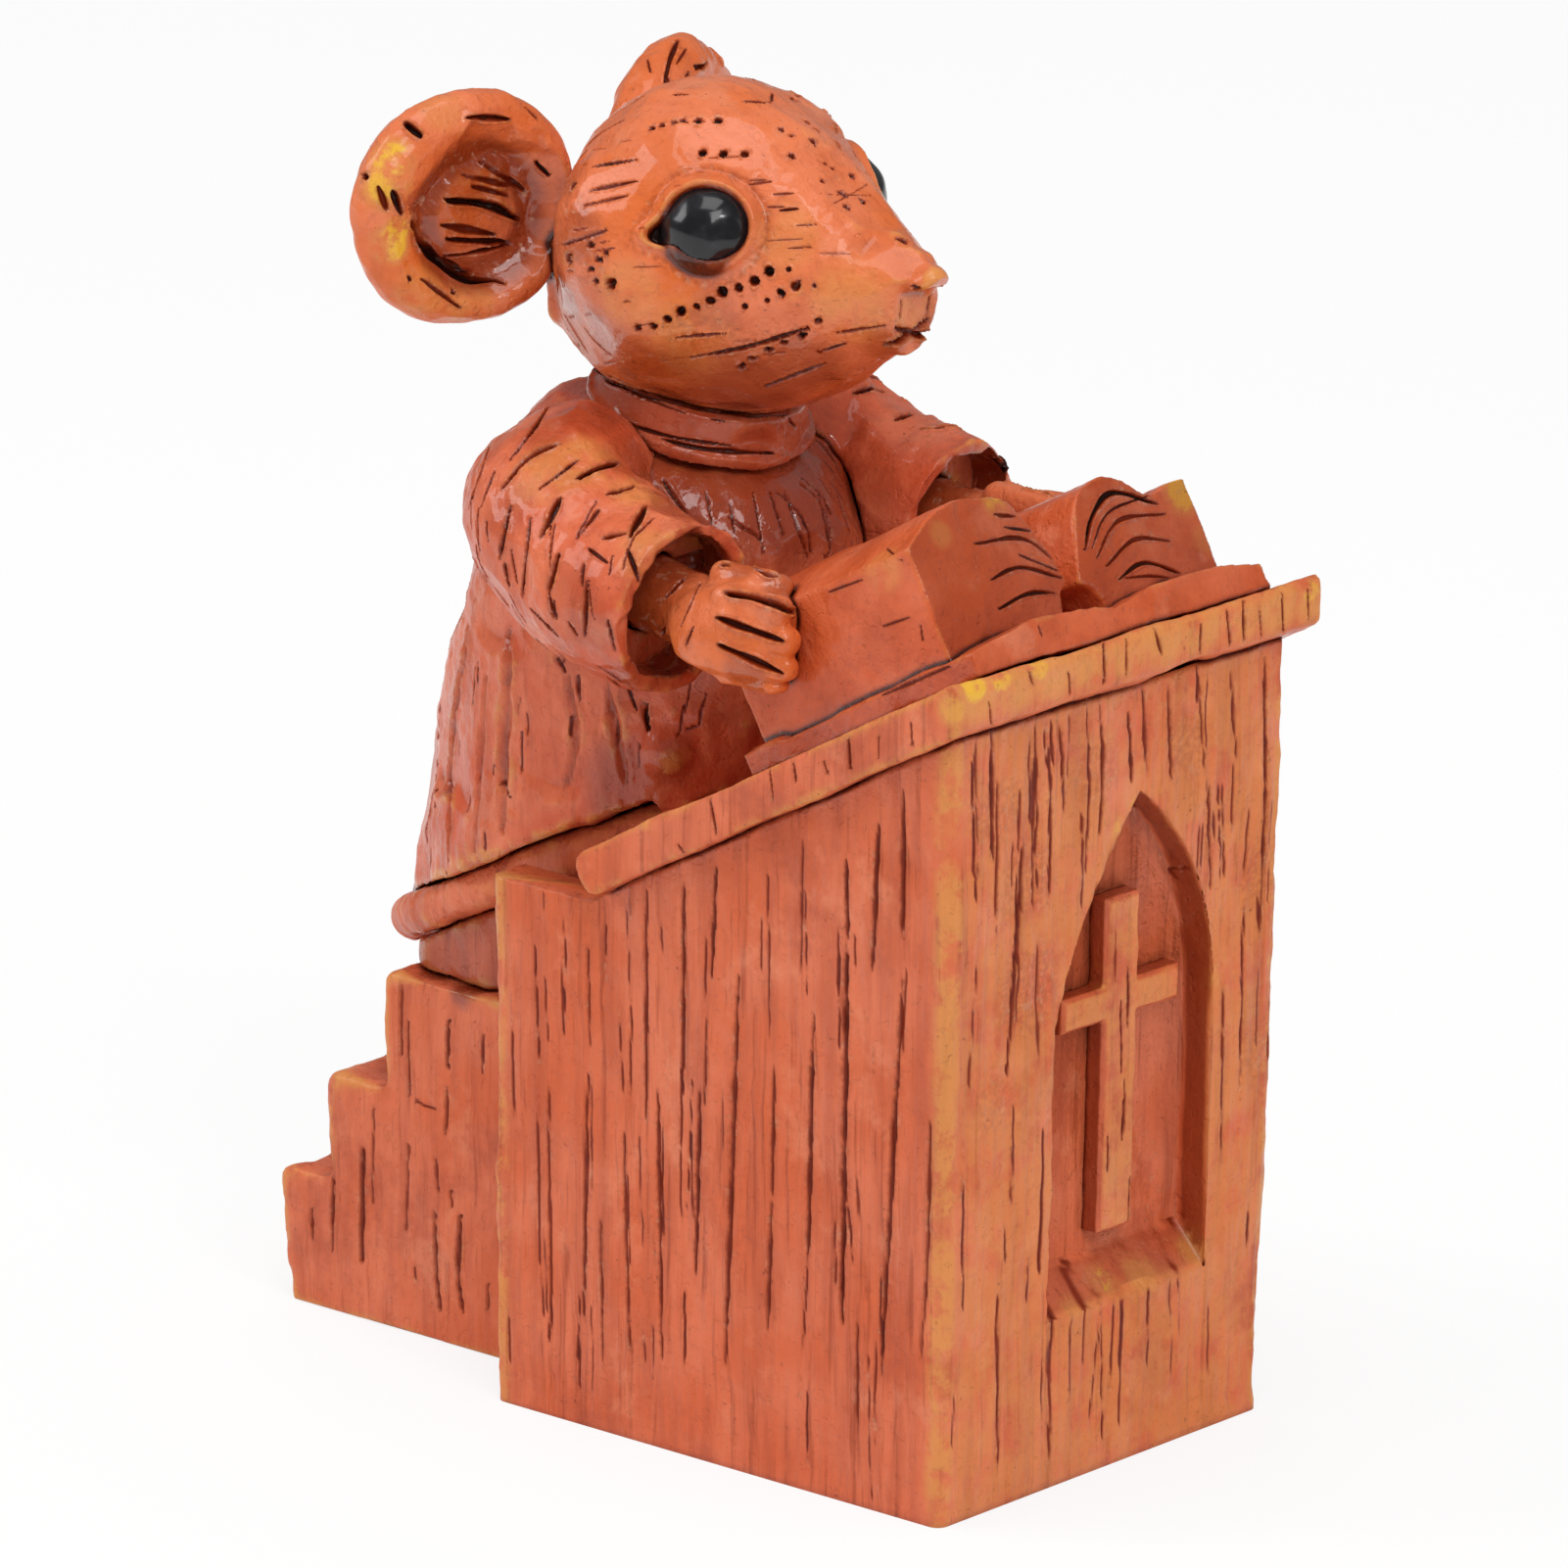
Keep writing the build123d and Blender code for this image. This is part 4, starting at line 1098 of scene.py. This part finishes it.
# sleeves and hands; the left ones are cut like the right ones
sleeveForm = {"voxel": 0.2, "sway": 0.16, "wave": 6, "seed": 41, "smooth": 3, "cuts": (90, 0.10, 2.5)}
sleeveStrokes = [
    (571, 453, 540, 468, 512, 500, 6), (588, 490, 612, 478, 632, 473, 6), (528, 420, 500, 450, 3),
    (560, 415, 540, 445, 520, 470, 4), (521, 517, 510, 570, 5), (541, 530, 533, 610, 4),
    (572, 508, 552, 550, 6), (571, 565, 560, 605, 6), (599, 593, 597, 650, 5),
    (620, 633, 628, 665, 4), (612, 520, 590, 548, 4), (615, 550, 640, 545, 5),
    (660, 515, 642, 550, 6), (500, 455, 478, 520, 3), (480, 565, 500, 600, 4),
    (505, 600, 520, 620, 3), (560, 605, 565, 630, 5), (620, 505, 650, 497, 5), (550, 500, 590, 470, 3),
    (580, 635, 590, 650, 3), (610, 680, 650, 705, 4), (505, 480, 490, 520, 3), (640, 560, 655, 600, 4),
    (515, 575, 520, 600, 4), (540, 620, 570, 650, 3), (600, 560, 620, 575, 4),
]
sleeveGold = [(600, 470, 3.0, 0.55), (560, 480, 3.5, 0.45), (650, 500, 2.5, 0.5), (710, 545, 2.2, 0.8),
              (690, 570, 1.6, 0.7), (655, 560, 2.5, 0.4)]
sleeveWetShade = [
    (600, 425, 3.0, 0.6), (645, 470, 3.0, 0.65), (690, 520, 2.5, 0.6), (655, 690, 3.0, 0.6),
    (520, 520, 2.5, 0.35), (560, 440, 2.5, 0.45), (600, 640, 2.5, 0.3),
]
sleeveGrain = [{"count": 26, "low": (-18, 5, 48), "high": (-18, 20, 60), "facing": (-1, 0, 0),
                "along": (0, 0.3, 1), "length": (0.8, 3), "width": (0.12, 0.26)}]
handWetShade = [(760, 578, 1.6, 0.6), (800, 600, 1.8, 0.6), (700, 680, 2.5, 0.7), (760, 690, 2.0, 0.6),
           (815, 640, 1.4, 0.6)]
cuffForm = {"place": (-13.2, 4.9, 54.1), "facing": (-0.041, -0.989, -0.143), "reach": 6.2,
            "inner": (-14, -11), "lip": (1.6, 0.4), "wrist": (2.4, 0.2), "stain": 0.35}
handForm = {"voxel": 0.15, "sway": 0.07, "wave": 3, "seed": 42, "smooth": 8, "cuts": (30, 0.06, 1.6),
            "lowest": 52.0, "squash": 0.55}
handStrokes = [
    (740, 605, 790, 615, 820, 632, 9), (730, 630, 800, 655, 7), (732, 658, 800, 688, 7),
    (727, 573, 745, 578, 7), (750, 572, 795, 590, 7), (700, 590, 680, 610, 5), (715, 595, 695, 640, 4),
    (708, 640, 700, 660, 4), (680, 640, 672, 655, 5),
]


def shadeCuff(obj, turn, wrist):
    # the cuff's inside and the wrist in it are darkened and stained as painted shade, under glossy varnish
    facing = np.array(cuffForm["facing"]) * (-turn, 1, 1)
    gap = points(obj) / mm - np.array(cuffForm["place"]) * (-turn, 1, 1)
    along = gap @ facing
    spoke = gap - np.outer(along, facing)
    away = np.linalg.norm(spoke, axis=1)
    if wrist:
        shaded = smoothStep(*cuffForm["wrist"], along)
    else:
        inward = -(spoke * normals(obj)).sum(1) / np.maximum(away, 0.01)
        shaded = smoothStep(0.0, 0.5, inward) * (away < cuffForm["reach"])
        shaded = shaded * smoothStep(*cuffForm["inner"], along) * smoothStep(*cuffForm["lip"], along)
    raiseMark(obj, "hollow", shaded)
    raiseMark(obj, "stain", cuffForm["stain"] * shaded)


def makeSleeve(side, laid):
    obj = skinOver(side + "_sleeve", sleeveForm)
    if side == "right":
        strokes = laid["sleeve"] = layStrokes(obj, sleeveStrokes, depth=0.85, bold=1.35)
    else:
        strokes = mirrorStrokes(obj, laid["sleeve"], jitter=0.3)
    cutStrokes(obj, strokes + rayStrokes(obj, sleeveGrain, sideSign[side]), levels=1)
    if side == "right":
        tintAt(obj, "gold", sleeveGold)
    # tucked places on the sleeve are darkened and glossy, as painted shade
    tintAt(obj, "hollow", sleeveWetShade)
    shadeCuff(obj, sideSign[side], wrist=False)
    markForms(obj, wide=14)
    finishPiece(obj, side + "_sleeve", robePaint)


def makeHand(side, laid):
    obj = skinOver(side + "_hand", handForm)
    co = points(obj)
    low = handForm["lowest"] * mm
    co[:, 2] = np.where(co[:, 2] < low, low + (co[:, 2] - low) * handForm["squash"], co[:, 2])
    setPoints(obj, co)
    if side == "right":
        strokes = laid["hand"] = layStrokes(obj, handStrokes, depth=0.9, bold=1.2)
    else:
        strokes = mirrorStrokes(obj, laid["hand"], jitter=0.3)
    cutStrokes(obj, strokes, levels=1)
    # the hand's tucked places by the book and cuff are darkened and glossy, as painted shade
    tintAt(obj, "hollow", handWetShade)
    shadeCuff(obj, sideSign[side], wrist=True)
    markForms(obj, wide=12)
    finishPiece(obj, side + "_hand", furPaint)


def makeArms():
    laid = {}
    for side in sideSign:
        makeSleeve(side, laid)
        makeHand(side, laid)


makeRobe()
makeArms()
print("robe and arms made")

# head: a ball drawn out to the snout along rows of place, width, height and lift
headForm = {
    "front": (0, -3.6, 73.6), "length": 28.6, "width": 20.0, "height": 20.2, "voxel": 0.26,
    "rows": [(0.0, 0.0, 0.0, -0.045), (0.015, 0.165, 0.215, -0.05), (0.061, 0.26, 0.315, -0.055),
             (0.187, 0.455, 0.565, -0.065), (0.355, 0.72, 0.86, -0.04), (0.56, 1.0, 1.04, -0.02),
             (0.76, 0.9, 0.98, -0.035), (0.91, 0.56, 0.72, -0.10), (0.98, 0.33, 0.46, -0.17),
             (1.0, 0.0, 0.0, -0.18)],
    "nose": ((0, -3.4, 73.75), (1.45, 1.75, 1.15)), "lips": ((0, -1.5, 70.2), (1.75, 1.7, 1.4)),
    "sway": 0.10, "wave": 6, "seed": 51, "cuts": (130, 0.1, 3.2), "cutSeed": 52,
}
eyeForm = {
    "place": (-5.9, 9.1, 75.9), "radius": 3.2, "turn": 36, "tilt": 24, "opening": (2.5, 2.2),
    "sway": 0.05, "wave": 2.5, "seed": 53,
}
# the lids: lengths in millimetres, gaps counted out from the opening's edge
lidForm = {
    "corner": 1.3, "cornerAngle": 207, "cornerPower": 30, "height": 0.42, "upper": 0.12, "gap": 0.42,
    "width": 0.32, "crease": 0.2, "creaseGap": 1.25, "creaseWidth": 0.25, "stainWidth": 0.3,
}
headStrokes = [
    (600, 195, 650, 185, 5), (605, 170, 650, 163, 4), (595, 210, 640, 200, 4), (575, 250, 620, 235, 5),
    (690, 345, 745, 340, 5), (705, 365, 760, 355, 825, 335, 7), (780, 395, 845, 370, 6),
    (855, 340, 905, 332, 4), (835, 360, 865, 350, 4), (685, 97, 705, 96, 4), (758, 103, 785, 105, 4),
    (795, 215, 815, 213, 5), (622, 384, 660, 399, 700, 411, 760, 420, 800, 418, 10),
]
headDots = [
    (665, 131, 7), (675, 128, 7), (688, 125, 8), (697, 123, 8), (713, 123, 9), (733, 123, 9),
    (717, 156, 9), (738, 157, 9), (760, 157, 9), (808, 159, 8), (797, 132, 7), (808, 138, 7),
    (830, 145, 8), (862, 200, 8), (880, 205, 9), (870, 180, 6), (850, 172, 5), (918, 245, 9),
    (651, 335, 9), (667, 333, 9), (681, 326, 10), (695, 318, 12), (711, 313, 8), (725, 307, 11),
    (737, 298, 12), (754, 294, 10), (770, 287, 12), (785, 277, 11), (805, 275, 6), (760, 313, 7),
    (783, 307, 6), (797, 299, 10), (812, 292, 11), (831, 292, 6), (757, 375, 10), (768, 366, 10),
    (785, 357, 10), (800, 350, 9), (818, 343, 10), (835, 328, 8), (602, 250, 8), (610, 265, 8),
    (618, 258, 8), (603, 275, 7), (608, 287, 8), (624, 290, 14), (580, 265, 12), (585, 190, 10),
    (578, 160, 8),
]
headGrain = [
    {"count": 40, "low": (-10, 1, 67), "high": (-10, 22, 82), "facing": (-1, 0, 0.2), "along": (0, 1, -0.25),
     "length": (0.6, 2.0), "width": (0.1, 0.18), "depth": 0.5, "paint": 0.55},
    {"count": 14, "low": (-8, 30, 66), "high": (0, 30, 82), "facing": (0, 1, 0), "length": (0.8, 3),
     "width": (0.15, 0.3)},
]
mouthStrokes = [(902, 351, 917, 348, 935, 335, 948, 325, 10), (949, 303, 947, 312, 946, 321, 4)]
nostrilStrokes = [(931, 292, 939, 297, 947, 304, 8)]
headBumps = [(690, 325, 5, 0.25), (720, 165, 5, 0.25), (850, 300, 5, 0.2), (588, 200, 4, 0.7),
             (580, 255, 4, 0.6)]
jawGold = [(870, 310, 3.5, 0.45), (700, 350, 4, 0.4), (940, 315, 1.5, 0.6), (640, 300, 3, 0.35),
           (800, 240, 3, 0.3)]
headSmudges = [
    (705, 338, 2.2, 0.45), (740, 330, 1.6, 0.35), (600, 275, 2.0, 0.4), (585, 215, 2.0, 0.45),
    (650, 370, 2.5, 0.4), (850, 170, 1.5, 0.3), (900, 330, 1.5, 0.3), (775, 350, 2.0, 0.3),
]
jawWetShade = [
    (760, 395, 4.5, 0.8), (820, 375, 3.5, 0.65), (690, 385, 4, 0.7), (620, 345, 3, 0.6),
    (590, 240, 2.5, 0.6), (575, 300, 2.5, 0.6), (640, 365, 4, 0.6), (905, 350, 2.0, 0.45),
    (585, 180, 2.0, 0.5), (730, 315, 2.0, 0.35),
]


def headBlank():
    form = headForm
    rows = np.array(form["rows"])
    bm = bmesh.new()
    bmesh.ops.create_icosphere(bm, subdivisions=6, radius=1)
    for v in bm.verts:
        place = np.array([(v.co.y + 1) / 2])
        wide, tall, lift = (float(easyCurve(place, rows[:, 0], rows[:, i])[0]) for i in (1, 2, 3))
        ring = max(math.hypot(v.co.x, v.co.z), 1e-6)
        x = wide * form["width"] / 2 * v.co.x / ring
        z = lift * form["height"] + tall * form["height"] / 2 * v.co.z / ring
        v.co = (Vector(form["front"]) + Vector((x, place[0] * form["length"], z))) * mm
    for name in ("nose", "lips"):
        middle, size = form[name]
        ball = bmesh.ops.create_icosphere(bm, subdivisions=4, radius=mm)["verts"]
        bmesh.ops.scale(bm, vec=size, verts=ball)
        bmesh.ops.translate(bm, vec=Vector(middle) * mm, verts=ball)
    obj = objectFrom(bm, "head_shown")
    voxelSkin(obj, form["voxel"], smooth=4)
    return obj


def eyeAxes(side):
    turn, tilt = math.radians(eyeForm["turn"]), math.radians(eyeForm["tilt"])
    out = side * math.cos(tilt) * math.cos(turn)
    facing = np.array([out, -math.cos(tilt) * math.sin(turn), math.sin(tilt)])
    ahead = np.array([0, -1, 0]) - facing * -facing[1]
    ahead = ahead / np.linalg.norm(ahead)
    lift = np.cross(facing, ahead) * -side
    return facing, ahead, lift


def shapeLids(obj, side):
    # an almond opening with a raised lid and a pointed rear corner
    facing, ahead, lift = eyeAxes(side)
    ball = np.array(eyeForm["place"]) * (-side, 1, 1) * mm
    splitWhere(obj, np.linalg.norm(points(obj) - ball, axis=1) < 6.5 * mm)
    co = points(obj)
    gap = (co - ball) / mm
    out, a, b = gap @ facing, gap @ ahead, gap @ lift
    away, angle = np.hypot(a, b), np.arctan2(b, a)
    point = np.cos(angle - math.radians(lidForm["cornerAngle"]))
    corner = np.clip(point, 0, 1) ** lidForm["cornerPower"] * lidForm["corner"]
    long, tall = eyeForm["opening"]
    edge = 1 / np.hypot(np.cos(angle) / long, np.sin(angle) / tall) + corner
    near = (away < 6) & (out > -0.5)
    floor = np.sqrt(np.clip(eyeForm["radius"] ** 2 - away**2, 0.2, None)) - 0.5
    sunk = np.minimum(out, np.where(away < eyeForm["radius"] - 0.3, floor, out - 0.8))
    inside = smoothStep(0.12, -0.12, away - edge) * near
    lid = lidForm["height"] + lidForm["upper"] * (b > 0)
    lid = lid * bell(away - edge, lidForm["gap"], lidForm["width"]) * near
    crease = lidForm["crease"] * bell(away - edge, lidForm["creaseGap"], lidForm["creaseWidth"])
    crease = crease * near * (b > -0.5)
    cover = np.sqrt(np.clip(eyeForm["radius"] ** 2 - away**2, 0, None)) + 0.2
    over = np.clip(cover - out - lid + crease, 0, None) * smoothStep(1.5, 0.35, away - edge) * near
    move = inside * (sunk - out) + (1 - inside) * (lid - crease + over)
    setPoints(obj, co + np.outer(move * mm, facing))
    ring = smoothStep(0.14, -0.02, away - edge) * near
    raiseMark(obj, "groove", ring)
    stain = near * bell(away - edge, lidForm["creaseGap"], lidForm["stainWidth"]) * 0.6
    raiseMark(obj, "stain", stain)


def makeHead():
    obj = headBlank()
    pushAt(obj, headBumps, bothSides=True)
    handCast(obj, headForm)
    for side in sideSign.values():
        shapeLids(obj, side)
    near = layStrokes(obj, headStrokes) + layStrokes(obj, headDots, depth=0.7)
    near += rayStrokes(obj, headGrain)
    near += layStrokes(obj, mouthStrokes, depth=1.1) + layStrokes(obj, nostrilStrokes, depth=0.6)
    cutStrokes(obj, near + mirrorStrokes(obj, near, jitter=0.25), levels=1)
    tintAt(obj, "gold", jawGold, bothSides=True)
    # under the jaw and behind the cheeks is darkened and glossy, as painted shade
    tintAt(obj, "hollow", jawWetShade, bothSides=True)
    tintAt(obj, "stain", headSmudges, bothSides=True)
    markForms(obj, wide=16)
    finishPiece(obj, "head", furPaint)
    for node in ("right_eye", "left_eye"):
        low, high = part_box(node)
        bm = bmesh.new()
        bmesh.ops.create_icosphere(bm, subdivisions=5, radius=(high.x - low.x) / 2)
        bmesh.ops.translate(bm, vec=(low + high) / 2, verts=bm.verts)
        ball = objectFrom(bm, node + "_shown")
        handCast(ball, eyeForm)
        finishPiece(ball, node, eyeEnamel)


# ears: a spun dish with a thick rim, pulled to an oval
earForm = {
    "place": (-9.8, 26.5, 75.4), "turn": 19, "halfWidth": 7.9, "halfTall": 7.45, "voxel": 0.17,
    "profile": [(0, -2.4), (0.5, -2.3), (0.78, -1.8), (0.93, -0.9), (1.0, 0.2), (0.99, 1.0),
                (0.93, 1.75), (0.86, 2.2), (0.78, 2.3), (0.70, 2.1), (0.64, 1.7), (0.58, 1.2),
                (0.52, 0.85), (0.46, 0.75), (0.40, 0.95), (0.32, 1.35), (0, 1.5)],
    "shift": (0.6, -0.5), "dishEdge": (0.72, 0.58), "frontFrom": -0.8,
    "sway": 0.13, "wave": 5, "seed": 61, "cuts": (45, 0.08, 2.5), "cutSeed": 62,
}
earStrokes = [
    (416, 212, 425, 245, 445, 268, 472, 285, 505, 287, 12), (452, 262, 485, 258, 520, 250, 6),
    (470, 178, 520, 190, 6), (490, 165, 535, 195, 7), (455, 205, 500, 210, 530, 225, 9),
    (480, 190, 520, 200, 6), (450, 230, 505, 240, 8), (455, 245, 520, 248, 7), (400, 195, 410, 220, 8),
    (412, 125, 430, 140, 9), (475, 120, 520, 122, 7), (363, 175, 375, 182, 8), (430, 285, 470, 315, 5),
    (418, 285, 6), (545, 165, 560, 180, 5), (385, 190, 395, 215, 7), (440, 260, 470, 275, 6),
    (535, 110, 548, 122, 5), (500, 285, 515, 290, 5), (462, 298, 8),
]
earGrain = [{"count": 9, "low": (-16, 30, 71), "high": (-6, 30, 81), "facing": (-0.3, 1, 0), "length": (1, 4),
             "width": (0.2, 0.4)}]
earGold = [
    (400, 165, 2.0, 1.0), (395, 190, 2.2, 0.9), (400, 250, 1.8, 1.0), (405, 235, 1.5, 1.0),
    (480, 310, 2.5, 0.5), (430, 300, 2.5, 0.5), (450, 110, 2, 0.3),
]
farEarStrokes = [(692, 40, 684, 60, 678, 85, 7), (700, 50, 690, 66, 4), (660, 60, 664, 75, 4)]


def earAxes():
    turn = math.radians(earForm["turn"])
    inward = Vector((math.cos(turn), -math.sin(turn), 0))
    return inward, Vector((-math.sin(turn), -math.cos(turn), 0))


def earBlank(side, turn):
    form = earForm
    bm = bmesh.new()
    ring = [bm.verts.new((share * mm, 0, z * mm)) for share, z in form["profile"]]
    edges = [bm.edges.new(pair) for pair in zip(ring, ring[1:])]
    bmesh.ops.spin(bm, geom=ring + edges, axis=(0, 0, 1), cent=(0, 0, 0), steps=96, angle=2 * math.pi,
                   use_merge=True, dvec=(0, 0, 0))
    bmesh.ops.remove_doubles(bm, verts=bm.verts, dist=0.001 * mm)
    for v in bm.verts:  # the dish lies off the middle, towards the head
        inner = max(0, min(1, (1 - math.hypot(v.co.x, v.co.y) / mm) / 0.35)) * (v.co.z > -0.5 * mm)
        v.co.x = v.co.x * form["halfWidth"] + inner * form["shift"][0] * mm
        v.co.y = v.co.y * form["halfTall"] + inner * form["shift"][1] * mm
    inward, facing = earAxes()
    place = Matrix((inward, facing.cross(inward), facing)).transposed().to_4x4()
    place.translation = Vector(form["place"]) * mm
    bmesh.ops.transform(bm, matrix=place, verts=bm.verts)
    if turn > 0:
        bmesh.ops.scale(bm, vec=(-1, 1, 1), verts=bm.verts)
    bmesh.ops.recalc_face_normals(bm, faces=bm.faces)
    obj = objectFrom(bm, side + "_ear_shown")
    voxelSkin(obj, form["voxel"])
    handCast(obj, form)
    return obj


def darkenDish(obj, turn):
    # the dish darkened and glossy as dark wash and painted shade, and a broken line of paint around its foot
    inward, facing = earAxes()
    shift = earForm["shift"]
    gap = (points(obj) * (-turn, 1, 1) - np.array(earForm["place"]) * mm) / mm
    front = gap @ np.array(facing) > earForm["frontFrom"]
    away = np.hypot(gap @ np.array(inward) - shift[0], gap[:, 2] - shift[1]) / earForm["halfTall"]
    dish = smoothStep(*earForm["dishEdge"], away) * front
    setMark(obj, "hollow", dish * (0.5 + 0.5 * smoothStep(0.34, 0.42, away)))
    raiseMark(obj, "stain", 0.85 * (bell(away, 0.52, 0.08) * front))
    broken = smoothStep(-0.5, 0.4, wobble(points(obj), wave=3, seed=63)) * front
    raiseMark(obj, "groove", 0.9 * bell(away, 0.49, 0.035) * broken)


def makeEars():
    laid = []
    for side, turn in sideSign.items():
        obj = earBlank(side, turn)
        if side == "right":
            strokes = laid = layStrokes(obj, earStrokes, depth=0.8, bold=1.15)
            tintAt(obj, "gold", earGold)
        else:
            strokes = mirrorStrokes(obj, laid, jitter=0.3) + layStrokes(obj, farEarStrokes)
        cutStrokes(obj, strokes + rayStrokes(obj, earGrain, turn), levels=1)
        darkenDish(obj, turn)
        markForms(obj, wide=16)
        finishPiece(obj, side + "_ear", furPaint)


makeHead()
makeEars()
markSeamsAndShade(reach=0.75)
print("mouse made")


# stage and light
stageForm = {"half": 1.5, "drop": 0.00002, "white": (0.93, 0.93, 0.93, 1), "rough": 0.9, "glow": 0.8,
             "sky": 0.58, "skySeen": 0.42, "skyMirrored": 0.38, "aim": (0, 0.005, 0.04)}
lamps = {
    "keyLamp": {"place": (-0.35, -0.55, 0.75), "size": 0.4, "watts": 2.4},
    "glintLamp": {"place": (-0.22, -0.72, 0.62), "size": 0.07, "watts": 0.45},
    "topLamp": {"place": (-0.15, -0.05, 0.95), "size": 0.5, "watts": 2.2},
    "fillLamp": {"place": (0.45, -0.92, 0.2), "size": 0.5, "watts": 0.6},
    "rearLamp": {"place": (-0.5, 0.6, 0.6), "size": 0.4, "watts": 2.0},
}


def makeFloor():
    bm = bmesh.new()
    bmesh.ops.create_grid(bm, x_segments=1, y_segments=1, size=stageForm["half"])
    floor = objectFrom(bm, "paleFloor")
    floor.location.z = -stageForm["drop"]
    material, shader, kit = newMaterial("paleFloor")
    shader.inputs["Base Color"].default_value = stageForm["white"]
    shader.inputs["Roughness"].default_value = stageForm["rough"]
    # seen by the camera the floor is nearly white, and keeps a soft shadow
    seen = kit.node("ShaderNodeLightPath", output="Is Camera Ray")
    glow = kit.node("ShaderNodeEmission", {"Color": (1, 1, 1, 1), "Strength": 1.0})
    surface = Wire(kit.tree, shader.outputs[0])
    lit = kit.node("ShaderNodeMixShader", {0: stageForm["glow"] * seen, 1: surface, 2: glow})
    kit.tree.links.new(lit.socket, kit.tree.nodes["Material Output"].inputs["Surface"])
    floor.data.materials.append(material)


def makeWorld():
    # white to the camera, softer as light, and dim in reflections
    world = bpy.data.worlds.new("studio")
    bpy.context.scene.world = world
    world.use_nodes = True
    kit = Wire(world.node_tree)
    sky = world.node_tree.nodes["Background"].inputs
    seen = kit.node("ShaderNodeLightPath", output="Is Camera Ray")
    mirrored = kit.node("ShaderNodeLightPath", output="Is Glossy Ray")
    strength = stageForm["sky"] + stageForm["skySeen"] * seen - stageForm["skyMirrored"] * mirrored
    kit.tree.links.new(strength.socket, sky["Strength"])
    sky["Color"].default_value = (1, 1, 1, 1)


def makeLamps():
    for name, lamp in lamps.items():
        data = bpy.data.lights.new(name, "AREA")
        data.size, data.energy = lamp["size"], lamp["watts"]
        obj = bpy.data.objects.new(name, data)
        bpy.context.scene.collection.objects.link(obj)
        obj.location = lamp["place"]
        way = Vector(stageForm["aim"]) - obj.location
        obj.rotation_euler = way.to_track_quat("-Z", "Y").to_euler()


makeCamera()
makeFloor()
makeWorld()
makeLamps()
bpy.context.scene.view_settings.view_transform = "Standard"
